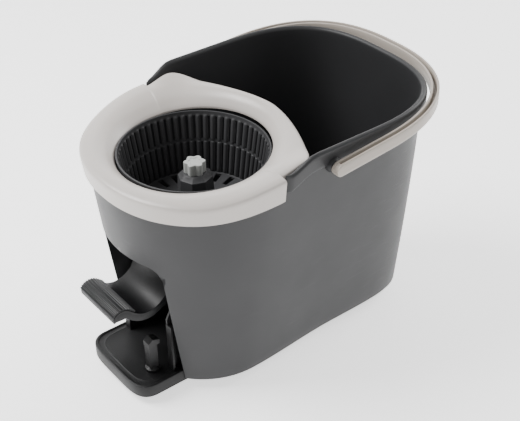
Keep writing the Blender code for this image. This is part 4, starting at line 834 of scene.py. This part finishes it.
FINISHES = {
    "steel": metal("steel_metal", (0.62, 0.62, 0.61), 0.26, (30, 1, 1)),
    "bronze": metal("bronze_metal", (0.55, 0.38, 0.20), 0.34, (1, 1, 25)),
    "gear": plastic("gear_plastic", (0.74, 0.73, 0.69), (0.70, 0.69, 0.64), 0.40, 0.1),
    "black": plastic("housing_plastic", (0.0070, 0.0070, 0.0075), (0.0060, 0.0060, 0.0065), 0.46, 0.3,
                     specular=0.40),
    "rubber": plastic("foot_rubber_visual", (0.020, 0.020, 0.020), (0.030, 0.030, 0.029), 0.75, 0.5),
}
KEPT = {
    "steel": ("housing_screw_1", "housing_screw_2", "housing_screw_3", "housing_screw_4",
              "clutch_roller_1", "clutch_roller_2", "clutch_roller_3", "clutch_washer", "cross_shaft",
              "spindle", "spindle_clip", "pedal_axle", "axle_clip_left", "axle_clip_right",
              "return_spring", "pivot_peg_left", "pivot_peg_right"),
    "bronze": ("lower_bush", "upper_bush", "shaft_bush_left", "shaft_bush_right"),
    "gear": ("sector_gear", "pinion", "drive_bevel", "spindle_bevel"),
    "black": ("housing_left", "housing_right", "bridge", "front_strut"),
    "rubber": ("foot_1", "foot_2", "foot_3", "foot_4"),
}
for finish, names in KEPT.items():
    for name in names:
        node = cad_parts[name]
        for place in node.material_slots:
            place.material = FINISHES[finish]


# ---------------------------------------------------------------- stage
# White sweep, a large soft key from the upper left, a fill and a rim light.

AWAY = np.array([-0.794, 0.608])              # the way the camera looks, on the floor
SWEEP_LINE = [(-6, 0), (-2, 0), (2.5, 0), (3.6, 0.25), (4.2, 1.0), (4.4, 2.5), (4.4, 5.0)]


def backdrop():
    """A white floor that curves up far behind the object: (distance along AWAY, height) carried across."""
    across = np.linspace(-8, 8, 5)
    return np.array([np.stack([far * AWAY[0] + across * AWAY[1], far * AWAY[1] - across * AWAY[0],
                               np.full_like(across, z)], -1) for far, z in flowing(SWEEP_LINE, 8)])


white = bpy.data.materials.new("sweep_white")
white.use_nodes = True
for socket, value in (("Base Color", (0.92, 0.92, 0.92, 1)), ("Roughness", 0.9),
                      ("Emission Color", (1, 1, 1, 1)), ("Emission Strength", 1.3)):
    white.node_tree.nodes["Principled BSDF"].inputs[socket].default_value = value
sweep = shape("sweep", [patch(backdrop(), away=(0, 0, -5, 1))], white, 60)


def area_light(name, place, aim, size, power):
    """A square soft light at place, turned to aim."""
    data = bpy.data.lights.new(name, "AREA")
    data.shape = "SQUARE"
    data.size = size
    data.energy = power
    lamp = bpy.data.objects.new(name, data)
    lamp.location = place
    lamp.rotation_euler = (Vector(aim) - Vector(place)).to_track_quat("-Z", "Y").to_euler()
    bpy.context.scene.collection.objects.link(lamp)
    return lamp


key = area_light("key", (-0.9, -1.1, 2.0), (0, 0, 0.2), 1.2, 84)
fill = area_light("fill", (1.9, -0.6, 1.2), (0, 0, 0.15), 1.8, 2.5)
back = area_light("back", (0.3, 2.2, 1.5), (0, 0, 0.3), 1.2, 34)
world = bpy.data.worlds.new("studio")
world.use_nodes = True
world.node_tree.nodes["Background"].inputs["Color"].default_value = (1, 1, 1, 1)
world.node_tree.nodes["Background"].inputs["Strength"].default_value = 0.5
bpy.context.scene.world = world

lens = bpy.data.cameras.new("camera")
lens.sensor_width = 36
lens.lens = 76.15
camera = bpy.data.objects.new("camera", lens)
right, above, behind = (0.6149, 0.7885, -0.0131), (-0.4434, 0.3594, 0.8211), (0.6522, -0.4990, 0.5707)
place = (0.9698, -0.6407 + AXIS_Y, 1.0062)
camera.matrix_world = Matrix([*zip(right, above, behind, place), (0, 0, 0, 1)])
bpy.context.scene.collection.objects.link(camera)
bpy.context.scene.camera = camera
